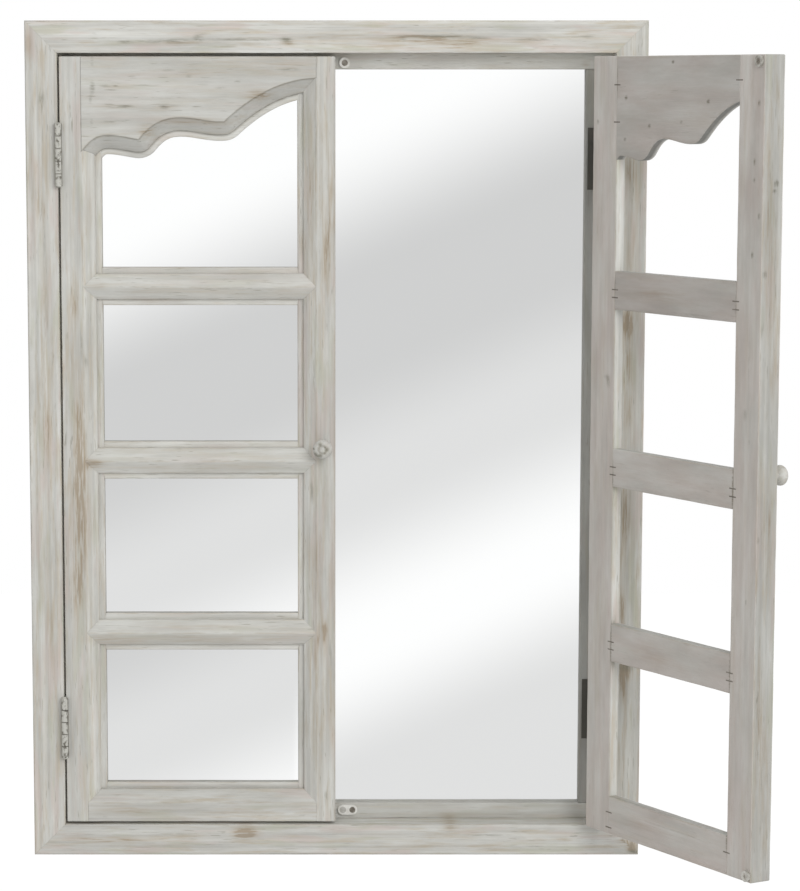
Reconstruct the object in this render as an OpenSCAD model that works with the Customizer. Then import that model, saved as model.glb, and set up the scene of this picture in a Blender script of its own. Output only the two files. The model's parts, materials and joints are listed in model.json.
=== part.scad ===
// Shutter mirror: a wall mirror in a mitred wooden frame, closed by two open-panel doors.
// X runs to the right, Y points back into the wall and Z points up. The origin lies on the
// wall plane, midway between the two hanging holes. Sizes are in millimetres.

/* [Outer frame] */
// Overall width of the frame
frame_w = 600; // [480:10:800]
// Overall height of the frame
frame_h = 820; // [760:10:1000]
// Depth of the frame, from its front face to the wall
frame_d = 45; // [44.5:0.5:60]
// Width of a frame member, seen from the front
frame_face = 31; // [26:1:45]
// Flat of the eased edges along the boards
eased = 0.8; // [0.3:0.1:1.2]

/* [Doors] */
// Thickness of the door stiles and rails
door_t = 22.5; // [20:0.5:26]
// Gap above a door
top_gap = 3.2; // [1.5:0.1:5]
// Gap below a door
bottom_gap = 2.8; // [1.5:0.1:5]
// Gap between the two closed doors
centre_gap = 2; // [1.6:0.2:5]
// Angle at which the right door stands open
right_open = 120; // [0:5:170]

/* [Door woodwork] */
// Flat part of the stile that carries the hinges
hinge_flat = 21; // [18:0.5:34]
// Flat part of the stile that carries the knob
free_flat = 18.5; // [17:0.5:34]
// Flat part of the bottom rail
bottom_flat = 19; // [12:0.5:34]
// Width of the bevel around each pane
bevel_w = 12.5; // [8:0.5:16]
// Depth to which the bevel falls
bevel_t = 8.5; // [4:0.5:10]
// Width of the step inside the bevel
step_w = 6; // [3:0.5:9]
// Depth of the step behind the door's front face
step_t = 12; // [11:0.5:14]
// Clear height of the three lower panes
pane_h = 133.5; // [90:0.5:145]
// Height of the top rail's scallop, which its control points are shares of
scallop_h = 100; // [80:1:104]

/* [Mirror and stops] */
// Width of the two side stops
stop_w = 27; // [25:1:40]
// Height of the top and bottom stops
stop_h = 15.5; // [15:0.5:28]
// Thickness of the stops
stop_t = 9; // [8.5:0.5:10]
// Thickness of the mirror glass
glass_t = 3; // [2:0.5:3]
// Thickness of the backing board
board_t = 3; // [2:0.5:3]
// Play between the glass and the frame, on each side
glass_play = 2; // [1:0.5:3]

/* [Hinges] */
// Height of a hinge
hinge_h = 60; // [50:0.5:76]
// Distance from the left door's top to the middle of its upper hinge
left_upper_inset = 94; // [60:0.5:120]
// Distance from the left door's foot to the middle of its lower hinge
left_lower_inset = 95.5; // [60:0.5:120]
// Distance from the right door's top to the middle of its upper hinge
right_upper_inset = 98.5; // [60:0.5:120]
// Distance from the right door's foot to the middle of its lower hinge
right_lower_inset = 108.5; // [60:0.5:120]
// Outer diameter of the hinge barrel
barrel_d = 7; // [6:0.5:9]
// Diameter of the hinge pin
pin_d = 3; // [2.5:0.1:3.5]
// Thickness of a hinge leaf
leaf_t = 0.8; // [0.7:0.1:1.5]
// Gap between the two leaves of a closed hinge
leaf_gap = 0.3; // [0.2:0.1:1]
// Play between the pin and the turning knuckles, on the radius
pin_play = 0.06; // [0.03:0.01:0.09]
// Reach of the frame leaf's flap across the side stop
flap_w = 24.5; // [12:0.5:24.5]

/* [Knobs] */
// Diameter of the knob's head
knob_d = 19; // [16:0.5:26]
// Height of the knob in front of the door
knob_h = 18.5; // [16:0.5:26]
// Height of the knob above the door's bottom edge
knob_z = 373.5; // [300:0.5:420]
// Distance from the knob's middle to the door's free edge
knob_inset = 12.5; // [10:0.5:14]
// Diameter of the tenon glued into the stile
tenon_d = 8; // [6:0.5:9]
// Length of the tenon
tenon_l = 12; // [8:1:18]

/* [Catches] */
// Diameter of the magnet discs on the doors and the top stop
catch_d = 10.4; // [8:0.2:11.6]
// Thickness of a disc or a catch plate
catch_t = 2.6; // [2.2:0.1:3.5]
// Gap between a disc and its mate when the door is closed
catch_gap = 0.3; // [0.2:0.1:1]
// Distance from the middle of the frame to the upper discs
top_catch_x = 8; // [7:0.5:20]
// Distance from the middle of the frame to the lower discs
bottom_catch_x = 6.5; // [6.5:0.5:20]
// Distance from a door's end to the middle of its disc
catch_inset = 6; // [5.8:0.1:9]
// Distance between the two lobes of a lower catch plate
catch_pitch = 9.5; // [8.6:0.1:14]
// Diameter of the magnet pressed into a lower catch plate
magnet_d = 6.4; // [4:0.2:7]

/* [Hangers] */
// Distance from the frame's side to the middle of a hanging hole
hanger_inset = 90; // [90:5:150]
// Distance from the frame's top edge to the hanging holes
hanger_drop = 16; // [14:0.5:17]
// Width of a hanger plate
hanger_w = 46; // [40:1:60]
// Thickness of a hanger plate
hanger_t = 1.5; // [1:0.1:2.5]
// Diameter of the keyhole's round part
keyhole_d = 9; // [7:0.5:10]
// Width of the keyhole's slot
keyhole_slot = 4.4; // [3:0.2:4.6]
// Rise of the slot above the round part's middle
keyhole_rise = 6.5; // [5.5:0.5:7]

/* [Fasteners] */
// Head diameter of the countersunk screws
head_d = 6; // [5:0.2:6.4]
// Shank diameter of the screws
shank_d = 2.8; // [2.4:0.1:3.2]
// Length of the hinge and hanger screws
screw_l = 14; // [10:1:16]
// Length of the catch screws
catch_screw_l = 10; // [8:0.5:11]
// Width of a joint staple's crown
staple_w = 10; // [8:0.5:12]
// Length of a joint staple's legs
staple_l = 9; // [6:0.5:9.5]
// Thickness of the staple wire
wire_t = 1.2; // [0.8:0.1:1.6]
// Width of a tab that holds the backing board
tab_w = 12; // [8:1:16]
// Thickness of a tab
tab_t = 0.8; // [0.5:0.1:1.2]
// Depth to which a tab goes into the frame
tab_bite = 6; // [4:1:9]
// Overlap of a tab on the backing board
tab_hold = 7; // [4:1:10]

/* [Hidden] */
$fn = 48;

// Colours of the finishes
wash = "#c8c6be";
wash_shade = "#bab8b0";
silver = "#dfe3e4";
board_brown = "#9a8468";
zinc = "#a9abab";
dark_steel = "#45413b";
catch_white = "#e4e3dd";

// Heights and depths of the frame
top_z = hanger_drop;
bottom_z = top_z - frame_h;
front_y = -frame_d;
inner_w = frame_w - 2 * frame_face;
inner_h = frame_h - 2 * frame_face;
inner_bottom_z = bottom_z + frame_face;
inner_top_z = top_z - frame_face;
middle_z = bottom_z + frame_h / 2;

// Layers behind the doors, counted back from the front face
stop_front = door_t + 2 * catch_t + catch_gap;
stop_y = front_y + stop_front;
glass_y = stop_y + stop_t;
board_y = glass_y + glass_t;
tab_y = board_y + board_t;

// Door sizes and pin axes
side_gap = 2 * leaf_t + leaf_gap;
door_w = (inner_w - 2 * side_gap - centre_gap) / 2;
door_h = inner_h - top_gap - bottom_gap;
door_z = inner_bottom_z + bottom_gap;
wood_play = 0.1;
pin_proud = barrel_d / 2 + wood_play;
pin_x = inner_w / 2 - side_gap / 2;
pin_y = front_y - pin_proud;

// Moulded members of a door
hinge_stile_w = hinge_flat + bevel_w + step_w;
free_stile_w = free_flat + bevel_w + step_w;
bottom_rail_h = bottom_flat + bevel_w + step_w;
bar_h = 2 * (bevel_w + step_w);
bar_pitch = pane_h + bar_h;
first_bar_z = bottom_rail_h + pane_h + bar_h / 2;
bar_zs = [for (k = [0:2]) first_bar_z + k * bar_pitch];
rail_span = door_w - hinge_flat - free_flat;

// Lower edge of the top rail: three Bezier stretches that meet in two cusps. Each control
// point gives its share of the span between the stile flats, and its depth below the
// door's top as a share of scallop_h.
scallop_shares = [
    [[-0.06, 1.093], [0.048, 0.685], [0.067, 0.708], [0.241, 0.777]],
    [[0.241, 0.777], [0.363, 0.427], [0.501, 0.628], [0.605, 0.608]],
    [[0.605, 0.608], [0.685, 0.442], [0.842, 0.151], [1.062, 0.196]]
];
scallop_steps = 14;
nose_steps = 4;
nose_r = 1.5;
quirk_t = 0.9;
quirk_w = 0.3;

// Joint staples of a door: heights of those at the bottom rail, drops of those at the top
// rail below the door's top on the hinge side and of the one on the free side, and the
// spacing of a bar's two and how far below the bar's middle they sit
bottom_staple_zs = [21.5, 6.5];
top_staple_drops = [27, 62];
free_staple_drop = 22.5;
staple_spacing = 7.5;
staple_set = 3;

// Middles of the hinges above each door's foot, and their knuckles
left_hinges = [left_lower_inset, door_h - left_upper_inset];
right_hinges = [right_lower_inset, door_h - right_upper_inset];
knuckles = 5;
knuckle_gap = 0.3;
knuckle_h = (hinge_h - (knuckles - 1) * knuckle_gap) / knuckles;
turn_play = 0.3;
leaf_start = barrel_d / 2 + turn_play;
leaf_margin = 2;
pin_head_t = 0.9;
pin_head_d = pin_d + 2.2;
press_play = 0.02;

// Screws: the head's cone, the drive slots and the play in their holes
cone_h = (head_d - shank_d) / 2;
drive_w = 0.7;
drive_l = 3.4;
drive_t = 0.5;
screw_play = 0.05;
tip_play = 0.5;
leaf_screw_side = 9;
leaf_screw_y = 8.5;
leaf_screw_stagger = 6;

// Lower catch plates
lobe_d = catch_d - 0.6;
magnet_t = catch_t - 0.6;

// Foot, waist and head of a knob
foot_d = 13;
foot_h = 1.8;
waist_d = 8.6;
waist_z = 4.2;
head_rise = 6.4;
head_start = -60;

// Keyhole hangers
hanger_pitch = frame_w - 2 * hanger_inset;
hanger_below = keyhole_d / 2 + 2.5;
hanger_above = keyhole_rise + keyhole_slot / 2 + 2.5;
hanger_screw_x = hanger_w / 2 - 6;
pocket_t = 7;
pocket_margin = 1;

// ---------- Shared shapes ----------

// Rectangle of size w by h with its corners cut at 45 degrees
function eased_rect(w, h, e) = [
    [e, 0], [w - e, 0], [w, e], [w, h - e], [w - e, h], [e, h], [0, h - e], [0, e]
];

// Countersunk screw that goes in along -Z, its head flush with Z = 0
module screw(length, play = 0) {
    translate([0, 0, -cone_h - play])
        cylinder(h = cone_h + play, d1 = shank_d + 2 * play, d2 = head_d + 2 * play);
    translate([0, 0, -length - play])
        cylinder(h = length - cone_h + play, d = shank_d + 2 * play);
}

// The same screw with a cross recess for the driver
module driven_screw(length) {
    difference() {
        screw(length);
        for (a = [0, 90])
            rotate([0, 0, a])
                translate([-drive_l / 2, -drive_w / 2, -drive_t])
                    cube([drive_l, drive_w, 2 * drive_t]);
    }
}

// Hole for a screw, open in front of its head
module screw_hole(length) {
    screw(length + tip_play, screw_play);
    cylinder(h = 1, d = head_d + 2 * screw_play);
}

// Wire staple driven along -Y, its crown flush with Y = 0
module staple() {
    translate([-staple_w / 2, -wire_t, -wire_t / 2])
        cube([staple_w, wire_t, wire_t]);
    for (x = [-staple_w / 2, staple_w / 2 - wire_t])
        translate([x, -staple_l, -wire_t / 2])
            cube([wire_t, staple_l, wire_t]);
}

// ---------- Outer frame ----------

// Board of the frame with eased edges, drawn from the outer corner inwards, length along X
module frame_board(length) {
    translate([-length / 2, front_y, 0])
        rotate([90, 0, 90])
            linear_extrude(length)
                polygon(eased_rect(frame_d, frame_face, eased));
}

// Frame member with mitred ends: length along X, outer edge at Z = 0
module frame_member(length) {
    intersection() {
        translate([0, 0, -frame_face])
            frame_board(length);
        rotate([90, 0, 0])
            translate([0, 0, -1])
                linear_extrude(frame_d + 2)
                    polygon([
                        [-length / 2, 0], [length / 2, 0],
                        [length / 2 - frame_face, -frame_face],
                        [-length / 2 + frame_face, -frame_face]
                    ]);
    }
}

// Staples across the four mitres, on the back of the frame
module mitre_staples() {
    for (sx = [-1, 1])
        for (sz = [-1, 1])
            translate([sx * frame_w / 2, 0, middle_z + sz * frame_h / 2])
                for (r = [0.3, 0.7])
                    translate([-sx * r * frame_face, 0, -sz * r * frame_face])
                        rotate([0, sx * sz * 45, 0])
                            staple();
}

// Tabs around the backing board: each lies along X with its wood end at X < 0
module tab() {
    translate([-tab_bite, 0, -tab_w / 2])
        cube([tab_bite + glass_play + tab_hold, tab_t, tab_w]);
}

module side_tabs() {
    for (sx = [-1, 1])
        for (r = [-0.36, -0.12, 0.12, 0.36])
            translate([sx * inner_w / 2, tab_y, middle_z + r * inner_h])
                rotate([0, sx > 0 ? 180 : 0, 0])
                    tab();
}

module end_tabs() {
    for (sz = [-1, 1])
        for (r = [-0.3, 0, 0.3])
            translate([r * inner_w, tab_y, middle_z + sz * inner_h / 2])
                rotate([0, sz > 0 ? 90 : -90, 0])
                    tab();
}

// Keyhole of a hanger: round below, slot above, cut along Y
module keyhole(depth) {
    rotate([-90, 0, 0])
        cylinder(h = depth, d = keyhole_d);
    translate([-keyhole_slot / 2, 0, 0])
        cube([keyhole_slot, depth, keyhole_rise]);
    translate([0, 0, keyhole_rise])
        rotate([-90, 0, 0])
            cylinder(h = depth, d = keyhole_slot);
}

module hanger_plate_block() {
    translate([-hanger_w / 2, -hanger_t, -hanger_below])
        cube([hanger_w, hanger_t, hanger_below + hanger_above]);
}

module hanger_screw_places() {
    for (x = [-hanger_screw_x, hanger_screw_x])
        translate([x, 0, (hanger_above - hanger_below) / 2])
            rotate([-90, 0, 0])
                children();
}

module hanger_places() {
    for (x = [-hanger_pitch / 2, hanger_pitch / 2])
        translate([x, 0, 0])
            children();
}

module hanger_plate() {
    difference() {
        hanger_plate_block();
        translate([0, -hanger_t - 1, 0])
            keyhole(hanger_t + 2);
        hanger_screw_places()
            screw_hole(screw_l);
    }
}

// Room in the top member for a plate, its screws and the head of the wall screw
module hanger_recess() {
    hanger_plate_block();
    translate([-keyhole_d / 2 - pocket_margin, -hanger_t - pocket_t, -keyhole_d / 2 - pocket_margin])
        cube([
            keyhole_d + 2 * pocket_margin,
            pocket_t + hanger_t,
            keyhole_d / 2 + keyhole_rise + keyhole_slot / 2 + 2 * pocket_margin
        ]);
    hanger_screw_places()
        screw_hole(screw_l);
}

module frame_top() {
    color(wash)
        difference() {
            translate([0, 0, top_z])
                frame_member(frame_w);
            mitre_staples();
            end_tabs();
            hanger_places()
                hanger_recess();
        }
}

module frame_bottom() {
    color(wash)
        difference() {
            translate([0, 0, bottom_z])
                rotate([0, 180, 0])
                    frame_member(frame_w);
            mitre_staples();
            end_tabs();
        }
}

module frame_left() {
    color(wash)
        difference() {
            translate([-frame_w / 2, 0, middle_z])
                rotate([0, -90, 0])
                    frame_member(frame_h);
            mitre_staples();
            side_tabs();
            closed_left()
                frame_leaf_screw_places(left_hinges)
                    screw_hole(screw_l);
        }
}

module frame_right() {
    color(wash)
        difference() {
            translate([frame_w / 2, 0, middle_z])
                rotate([0, 90, 0])
                    frame_member(frame_h);
            mitre_staples();
            side_tabs();
            closed_right()
                frame_leaf_screw_places(right_hinges)
                    screw_hole(screw_l);
        }
}

module frame_staples() {
    color(zinc)
        mitre_staples();
}

// ---------- Stops, mirror and back ----------

// Section of a stop of the given width: outer edge at X = 0, the front edge beside the
// mirror eased
module stop_section(width) {
    polygon([
        [0, 0], [width - eased, 0], [width, eased], [width, stop_t], [0, stop_t]
    ]);
}

module stop_top() {
    color(wash_shade)
        difference() {
            translate([-inner_w / 2, stop_y, inner_top_z])
                rotate([0, 90, 0])
                    linear_extrude(inner_w)
                        stop_section(stop_h);
            top_catch_places()
                screw_hole(catch_screw_l);
        }
}

module stop_bottom() {
    color(wash_shade)
        difference() {
            translate([inner_w / 2, stop_y, inner_bottom_z])
                rotate([0, -90, 0])
                    linear_extrude(inner_w)
                        stop_section(stop_h);
            bottom_catch_places()
                translate([catch_pitch, 0, 0])
                    screw_hole(catch_screw_l);
        }
}

// Stands between the top and bottom stops
module side_stop() {
    translate([-inner_w / 2, stop_y, inner_bottom_z + stop_h])
        linear_extrude(inner_h - 2 * stop_h)
            stop_section(stop_w);
}

module stop_left() {
    color(wash_shade)
        side_stop();
}

module stop_right() {
    color(wash_shade)
        mirror([1, 0, 0])
            side_stop();
}

module back_sheet(y, thickness) {
    translate([-inner_w / 2 + glass_play, y, inner_bottom_z + glass_play])
        cube([inner_w - 2 * glass_play, thickness, inner_h - 2 * glass_play]);
}

module mirror_glass() {
    color(silver)
        back_sheet(glass_y, glass_t);
}

module backing_board() {
    color(board_brown)
        back_sheet(board_y, board_t);
}

module board_tabs() {
    color(zinc) {
        side_tabs();
        end_tabs();
    }
}

module hanger_left() {
    color(zinc)
        translate([-hanger_pitch / 2, 0, 0])
            hanger_plate();
}

module hanger_right() {
    color(zinc)
        translate([hanger_pitch / 2, 0, 0])
            hanger_plate();
}

module hanger_screws() {
    color(zinc)
        hanger_places()
            hanger_screw_places()
                driven_screw(screw_l);
}

// ---------- Magnet catches ----------

// Face of a catch turned to the doors: children look out along +Z, which becomes -Y
module top_catch_places() {
    for (sx = [-1, 1])
        translate([sx * top_catch_x, stop_y - catch_t, door_z + door_h - catch_inset])
            rotate([90, 0, 0])
                children();
}

module bottom_catch_places() {
    for (sx = [0, 1])
        mirror([sx, 0, 0])
            translate([bottom_catch_x, stop_y - catch_t, door_z + catch_inset])
                rotate([90, 0, 0])
                    children();
}

// Countersunk disc whose face lies at Z = 0
module catch_disc() {
    difference() {
        translate([0, 0, -catch_t])
            cylinder(h = catch_t, d = catch_d);
        screw_hole(catch_screw_l);
    }
}

module top_catches() {
    color(catch_white)
        top_catch_places()
            catch_disc();
}

// Plate with two round lobes: a magnet in the first and a screw in the second
module bottom_catches() {
    color(catch_white)
        bottom_catch_places()
            difference() {
                translate([0, 0, -catch_t]) {
                    cylinder(h = catch_t, d = lobe_d);
                    translate([catch_pitch, 0, 0])
                        cylinder(h = catch_t, d = lobe_d);
                    translate([0, -lobe_d / 2, 0])
                        cube([catch_pitch, lobe_d, catch_t]);
                }
                translate([0, 0, -magnet_t])
                    cylinder(h = magnet_t + 1, d = magnet_d + 2 * screw_play);
                translate([catch_pitch, 0, 0])
                    screw_hole(catch_screw_l);
            }
}

module catch_magnets() {
    color(zinc)
        bottom_catch_places()
            translate([0, 0, -magnet_t])
                cylinder(h = magnet_t, d = magnet_d);
}

module catch_screws() {
    color(zinc) {
        top_catch_places()
            driven_screw(catch_screw_l);
        bottom_catch_places()
            translate([catch_pitch, 0, 0])
                driven_screw(catch_screw_l);
    }
}

// ---------- Places on the doors ----------

// Door space: X from the hinge edge, Y from the front face, Z from the bottom edge
module closed_left() {
    translate([-inner_w / 2 + side_gap, front_y, door_z])
        children();
}

module closed_right() {
    mirror([1, 0, 0])
        closed_left()
            children();
}

module open_right() {
    translate([pin_x, pin_y, 0])
        rotate([0, 0, right_open])
            translate([-pin_x, -pin_y, 0])
                closed_right()
                    children();
}

// Hinge space, for hinges whose middles are at the heights zs: X from the pin axis
// towards the door, Y back, Z from the hinge's middle
module hinge_places(zs) {
    for (z = zs)
        translate([-side_gap / 2, -pin_proud, z])
            children();
}

// Screws of one leaf: two at the ends and one set back in the middle
module leaf_screw_row() {
    for (k = [-1, 0, 1])
        translate([
            0,
            pin_proud + leaf_screw_y + (k == 0 ? leaf_screw_stagger : 0),
            k * (hinge_h / 2 - leaf_screw_side)
        ])
            children();
}

module frame_leaf_screw_places(zs) {
    hinge_places(zs)
        leaf_screw_row()
            translate([-leaf_gap / 2, 0, 0])
                rotate([0, 90, 0])
                    children();
}

module door_leaf_screw_places(zs) {
    hinge_places(zs)
        leaf_screw_row()
            translate([leaf_gap / 2, 0, 0])
                rotate([0, -90, 0])
                    children();
}

// ---------- Hinges ----------

function knuckle_z(k) = -hinge_h / 2 + k * (knuckle_h + knuckle_gap);

// Leaf on the door side (X > 0) with the knuckles named in ks, its plate ending at plate_end
module leaf_body(ks, plate_end) {
    translate([leaf_gap / 2, leaf_start, -hinge_h / 2])
        cube([leaf_t, plate_end - leaf_start, hinge_h]);
    for (k = ks)
        translate([0, 0, knuckle_z(k)]) {
            cylinder(h = knuckle_h, d = barrel_d);
            translate([leaf_gap / 2, 0, 0])
                cube([leaf_t, leaf_start + leaf_t, knuckle_h]);
        }
}

module pin_bore(play) {
    translate([0, 0, -hinge_h / 2 - 1])
        cylinder(h = hinge_h + 2, d = pin_d + 2 * play);
}

module door_leaves(zs) {
    difference() {
        hinge_places(zs)
            difference() {
                leaf_body([1, 3], pin_proud + door_t - leaf_margin);
                pin_bore(pin_play);
            }
        door_leaf_screw_places(zs)
            screw_hole(screw_l);
    }
}

// The frame leaf turns at the side stop and lies across its face as a flap
module frame_leaves(zs) {
    plate_end = pin_proud + stop_front;
    difference() {
        hinge_places(zs)
            difference() {
                union() {
                    mirror([1, 0, 0])
                        leaf_body([0, 2, 4], plate_end);
                    translate([-side_gap / 2, plate_end - leaf_t, -hinge_h / 2])
                        cube([flap_w, leaf_t, hinge_h]);
                }
                pin_bore(press_play);
            }
        frame_leaf_screw_places(zs)
            screw_hole(screw_l);
    }
}

// Pin with a small head at each end of the barrel
module hinge_pins(zs) {
    hinge_places(zs) {
        translate([0, 0, -hinge_h / 2])
            cylinder(h = hinge_h, d = pin_d);
        for (z = [-hinge_h / 2 - pin_head_t, hinge_h / 2])
            translate([0, 0, z])
                cylinder(h = pin_head_t, d = pin_head_d);
    }
}

module left_frame_leaves() {
    color(dark_steel)
        closed_left()
            frame_leaves(left_hinges);
}

module right_frame_leaves() {
    color(dark_steel)
        closed_right()
            frame_leaves(right_hinges);
}

module frame_leaf_screws() {
    color(zinc) {
        closed_left()
            frame_leaf_screw_places(left_hinges)
                driven_screw(screw_l);
        closed_right()
            frame_leaf_screw_places(right_hinges)
                driven_screw(screw_l);
    }
}

module left_hinge_pins() {
    color(zinc)
        closed_left()
            hinge_pins(left_hinges);
}

module right_hinge_pins() {
    color(zinc)
        closed_right()
            hinge_pins(right_hinges);
}

// ---------- Door woodwork ----------

// Section of a stile: flat at the outer edge, then the bevel, a drop and the step
module stile_section(flat, e) {
    width = flat + bevel_w + step_w;
    polygon([
        [0, e], [e, 0], [flat, 0],
        [flat + bevel_w, bevel_t], [flat + bevel_w, step_t],
        [width - e, step_t], [width, step_t + e],
        [width, door_t - e], [width - e, door_t],
        [e, door_t], [0, door_t - e]
    ]);
}

module hinge_stile_bar(e) {
    linear_extrude(door_h)
        stile_section(hinge_flat, e);
}

module free_stile_bar(e) {
    translate([door_w, 0, 0])
        mirror([1, 0, 0])
            linear_extrude(door_h)
                stile_section(free_flat, e);
}

// Cuts the ends of a rail or bar to the shape of the two stiles
module coped() {
    difference() {
        children();
        hinge_stile_bar(0);
        free_stile_bar(0);
    }
}

// Extrudes a section, drawn with X up and Y back, from one stile flat to the other
module between_flats() {
    translate([hinge_flat, 0, 0])
        mirror([1, 0, 0])
            rotate([0, -90, 0])
                linear_extrude(rail_span)
                    children();
}

// Staples across the joints of a door, on its back: a pair on each bar, and one or two on
// the rails
module joint_staples() {
    bar_pairs = [
        for (z = bar_zs)
            for (dz = [-staple_spacing / 2, staple_spacing / 2])
                z - staple_set + dz
    ];
    for (z = concat(bottom_staple_zs, bar_pairs, [for (drop = top_staple_drops) door_h - drop]))
        translate([hinge_stile_w, door_t, z])
            staple();
    for (z = concat([bottom_staple_zs[0]], bar_pairs, [door_h - free_staple_drop]))
        translate([door_w - free_stile_w, door_t, z])
            staple();
}

module hinge_stile(zs) {
    difference() {
        hinge_stile_bar(eased);
        joint_staples();
        door_leaf_screw_places(zs)
            screw_hole(screw_l);
    }
}

module free_stile() {
    difference() {
        free_stile_bar(eased);
        joint_staples();
        knob_place()
            translate([0, 0, -tenon_l - tip_play])
                cylinder(h = tenon_l + tip_play + 1, d = tenon_d + 2 * screw_play);
        strike_places()
            screw_hole(catch_screw_l);
    }
}

// Bar k counts up from the lowest one
module bar(k) {
    difference() {
        coped()
            between_flats()
                translate([bar_zs[k], 0])
                    polygon([
                        [-bar_h / 2, step_t + eased], [-bar_h / 2 + eased, step_t],
                        [-bevel_w, step_t], [-bevel_w, bevel_t],
                        [0, 0],
                        [bevel_w, bevel_t], [bevel_w, step_t],
                        [bar_h / 2 - eased, step_t], [bar_h / 2, step_t + eased],
                        [bar_h / 2, door_t - eased], [bar_h / 2 - eased, door_t],
                        [-bar_h / 2 + eased, door_t], [-bar_h / 2, door_t - eased]
                    ]);
        joint_staples();
    }
}

module bottom_rail() {
    difference() {
        coped()
            between_flats()
                stile_section(bottom_flat, eased);
        joint_staples();
    }
}

// Point and heading of the scalloped edge at share u of stretch c
function bezier(c, u) =
    pow(1 - u, 3) * c[0] + 3 * pow(1 - u, 2) * u * c[1]
    + 3 * (1 - u) * u * u * c[2] + u * u * u * c[3];
function bezier_slope(c, u) =
    3 * pow(1 - u, 2) * (c[1] - c[0]) + 6 * (1 - u) * u * (c[2] - c[1])
    + 3 * u * u * (c[3] - c[2]);
function in_door(p) = [hinge_flat + p[0] * rail_span, p[1] * scallop_h];
function heading(v) = atan2(v[1], v[0]);

stretches = [for (c = scallop_shares) [for (p = c) in_door(p)]];

// Edge as [x, depth, heading]; at a cusp the heading turns in steps, which rounds the nose
scallop_edge = [
    for (i = [0:len(stretches) - 1])
        let (c = stretches[i])
            each concat(
                [for (k = [0:scallop_steps])
                    let (u = k / scallop_steps)
                        [bezier(c, u)[0], bezier(c, u)[1], heading(bezier_slope(c, u))]],
                i == len(stretches) - 1 ? [] : [
                    for (k = [1:nose_steps - 1])
                        let (
                            a = heading(c[3] - c[2]),
                            b = heading(stretches[i + 1][1] - stretches[i + 1][0])
                        )
                            [c[3][0], c[3][1], a + (b - a) * k / nose_steps]
                ]
            )
];

// Outline of the rail at depth y, its lower edge set down by the given distance
function rail_ring(y, set_down) = concat(
    [for (e = scallop_edge)
        [e[0] - set_down * sin(e[2]), y, door_h - e[1] - set_down * cos(e[2])]],
    [
        [door_w - free_flat / 2, y, door_h],
        [hinge_flat / 2, y, door_h]
    ]
);

rail_rings = [
    rail_ring(0, nose_r),
    rail_ring(quirk_t, nose_r + quirk_w),
    rail_ring(bevel_t, nose_r + bevel_w),
    rail_ring(step_t, nose_r + bevel_w + quirk_w)
];

// Moulded front of the top rail, its rings joined one behind the other
module moulded_front() {
    n = len(rail_rings[0]);
    m = len(rail_rings);
    polyhedron(
        points = [for (ring = rail_rings) each ring],
        faces = concat(
            [[for (i = [n - 1:-1:0]) i]],
            [for (j = [0:m - 2], i = [0:n - 1])
                [j * n + i, j * n + (i + 1) % n, j * n + n + (i + 1) % n, j * n + n + i]],
            [[for (i = [0:n - 1]) (m - 1) * n + i]]
        ),
        convexity = 6
    );
}

// The top rail before its ends are coped: the moulded front on the plain lip behind it
module scalloped_board() {
    moulded_front();
    translate([0, door_t, 0])
        rotate([90, 0, 0])
            linear_extrude(door_t - step_t)
                polygon([
                    for (p = rail_ring(0, nose_r + bevel_w + step_w)) [p[0], p[2]]
                ]);
}

module top_rail() {
    difference() {
        coped()
            scalloped_board();
        joint_staples();
    }
}

// ---------- Knobs and strikes ----------

module knob_place() {
    translate([door_w - knob_inset, 0, knob_z])
        rotate([90, 0, 0])
            children();
}

// Turned knob: tenon, foot, waist and a domed head
module knob() {
    rotate_extrude()
        polygon(concat(
            [
                [0, -tenon_l], [tenon_d / 2, -tenon_l], [tenon_d / 2, 0],
                [foot_d / 2 - 0.4, 0], [foot_d / 2, 0.6], [foot_d / 2 - 0.5, foot_h],
                [waist_d / 2 + 0.4, waist_z - 1], [waist_d / 2, waist_z]
            ],
            [for (a = [head_start:15:75])
                [knob_d / 2 * cos(a), knob_h - head_rise + head_rise * sin(a)]],
            [[0, knob_h]]
        ));
}

// Discs on a door's back, facing +Y: one near the top corner, one near the bottom corner
module strike_places() {
    for (p = [[top_catch_x, door_h - catch_inset], [bottom_catch_x, catch_inset]])
        translate([door_w + centre_gap / 2 - p[0], door_t + catch_t, p[1]])
            rotate([-90, 0, 0])
                children();
}

// ---------- Left door ----------

module left_hinge_stile() { color(wash) closed_left() hinge_stile(left_hinges); }
module left_free_stile() { color(wash) closed_left() free_stile(); }
module left_top_rail() { color(wash) closed_left() top_rail(); }
module left_upper_bar() { color(wash) closed_left() bar(2); }
module left_middle_bar() { color(wash) closed_left() bar(1); }
module left_lower_bar() { color(wash) closed_left() bar(0); }
module left_bottom_rail() { color(wash) closed_left() bottom_rail(); }
module left_staples() { color(zinc) closed_left() joint_staples(); }
module left_knob() { color(wash) closed_left() knob_place() knob(); }
module left_strikes() { color(catch_white) closed_left() strike_places() catch_disc(); }
module left_door_leaves() { color(zinc) closed_left() door_leaves(left_hinges); }

module left_strike_screws() {
    color(zinc)
        closed_left()
            strike_places()
                driven_screw(catch_screw_l);
}

module left_leaf_screws() {
    color(zinc)
        closed_left()
            door_leaf_screw_places(left_hinges)
                driven_screw(screw_l);
}

// ---------- Right door ----------

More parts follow.
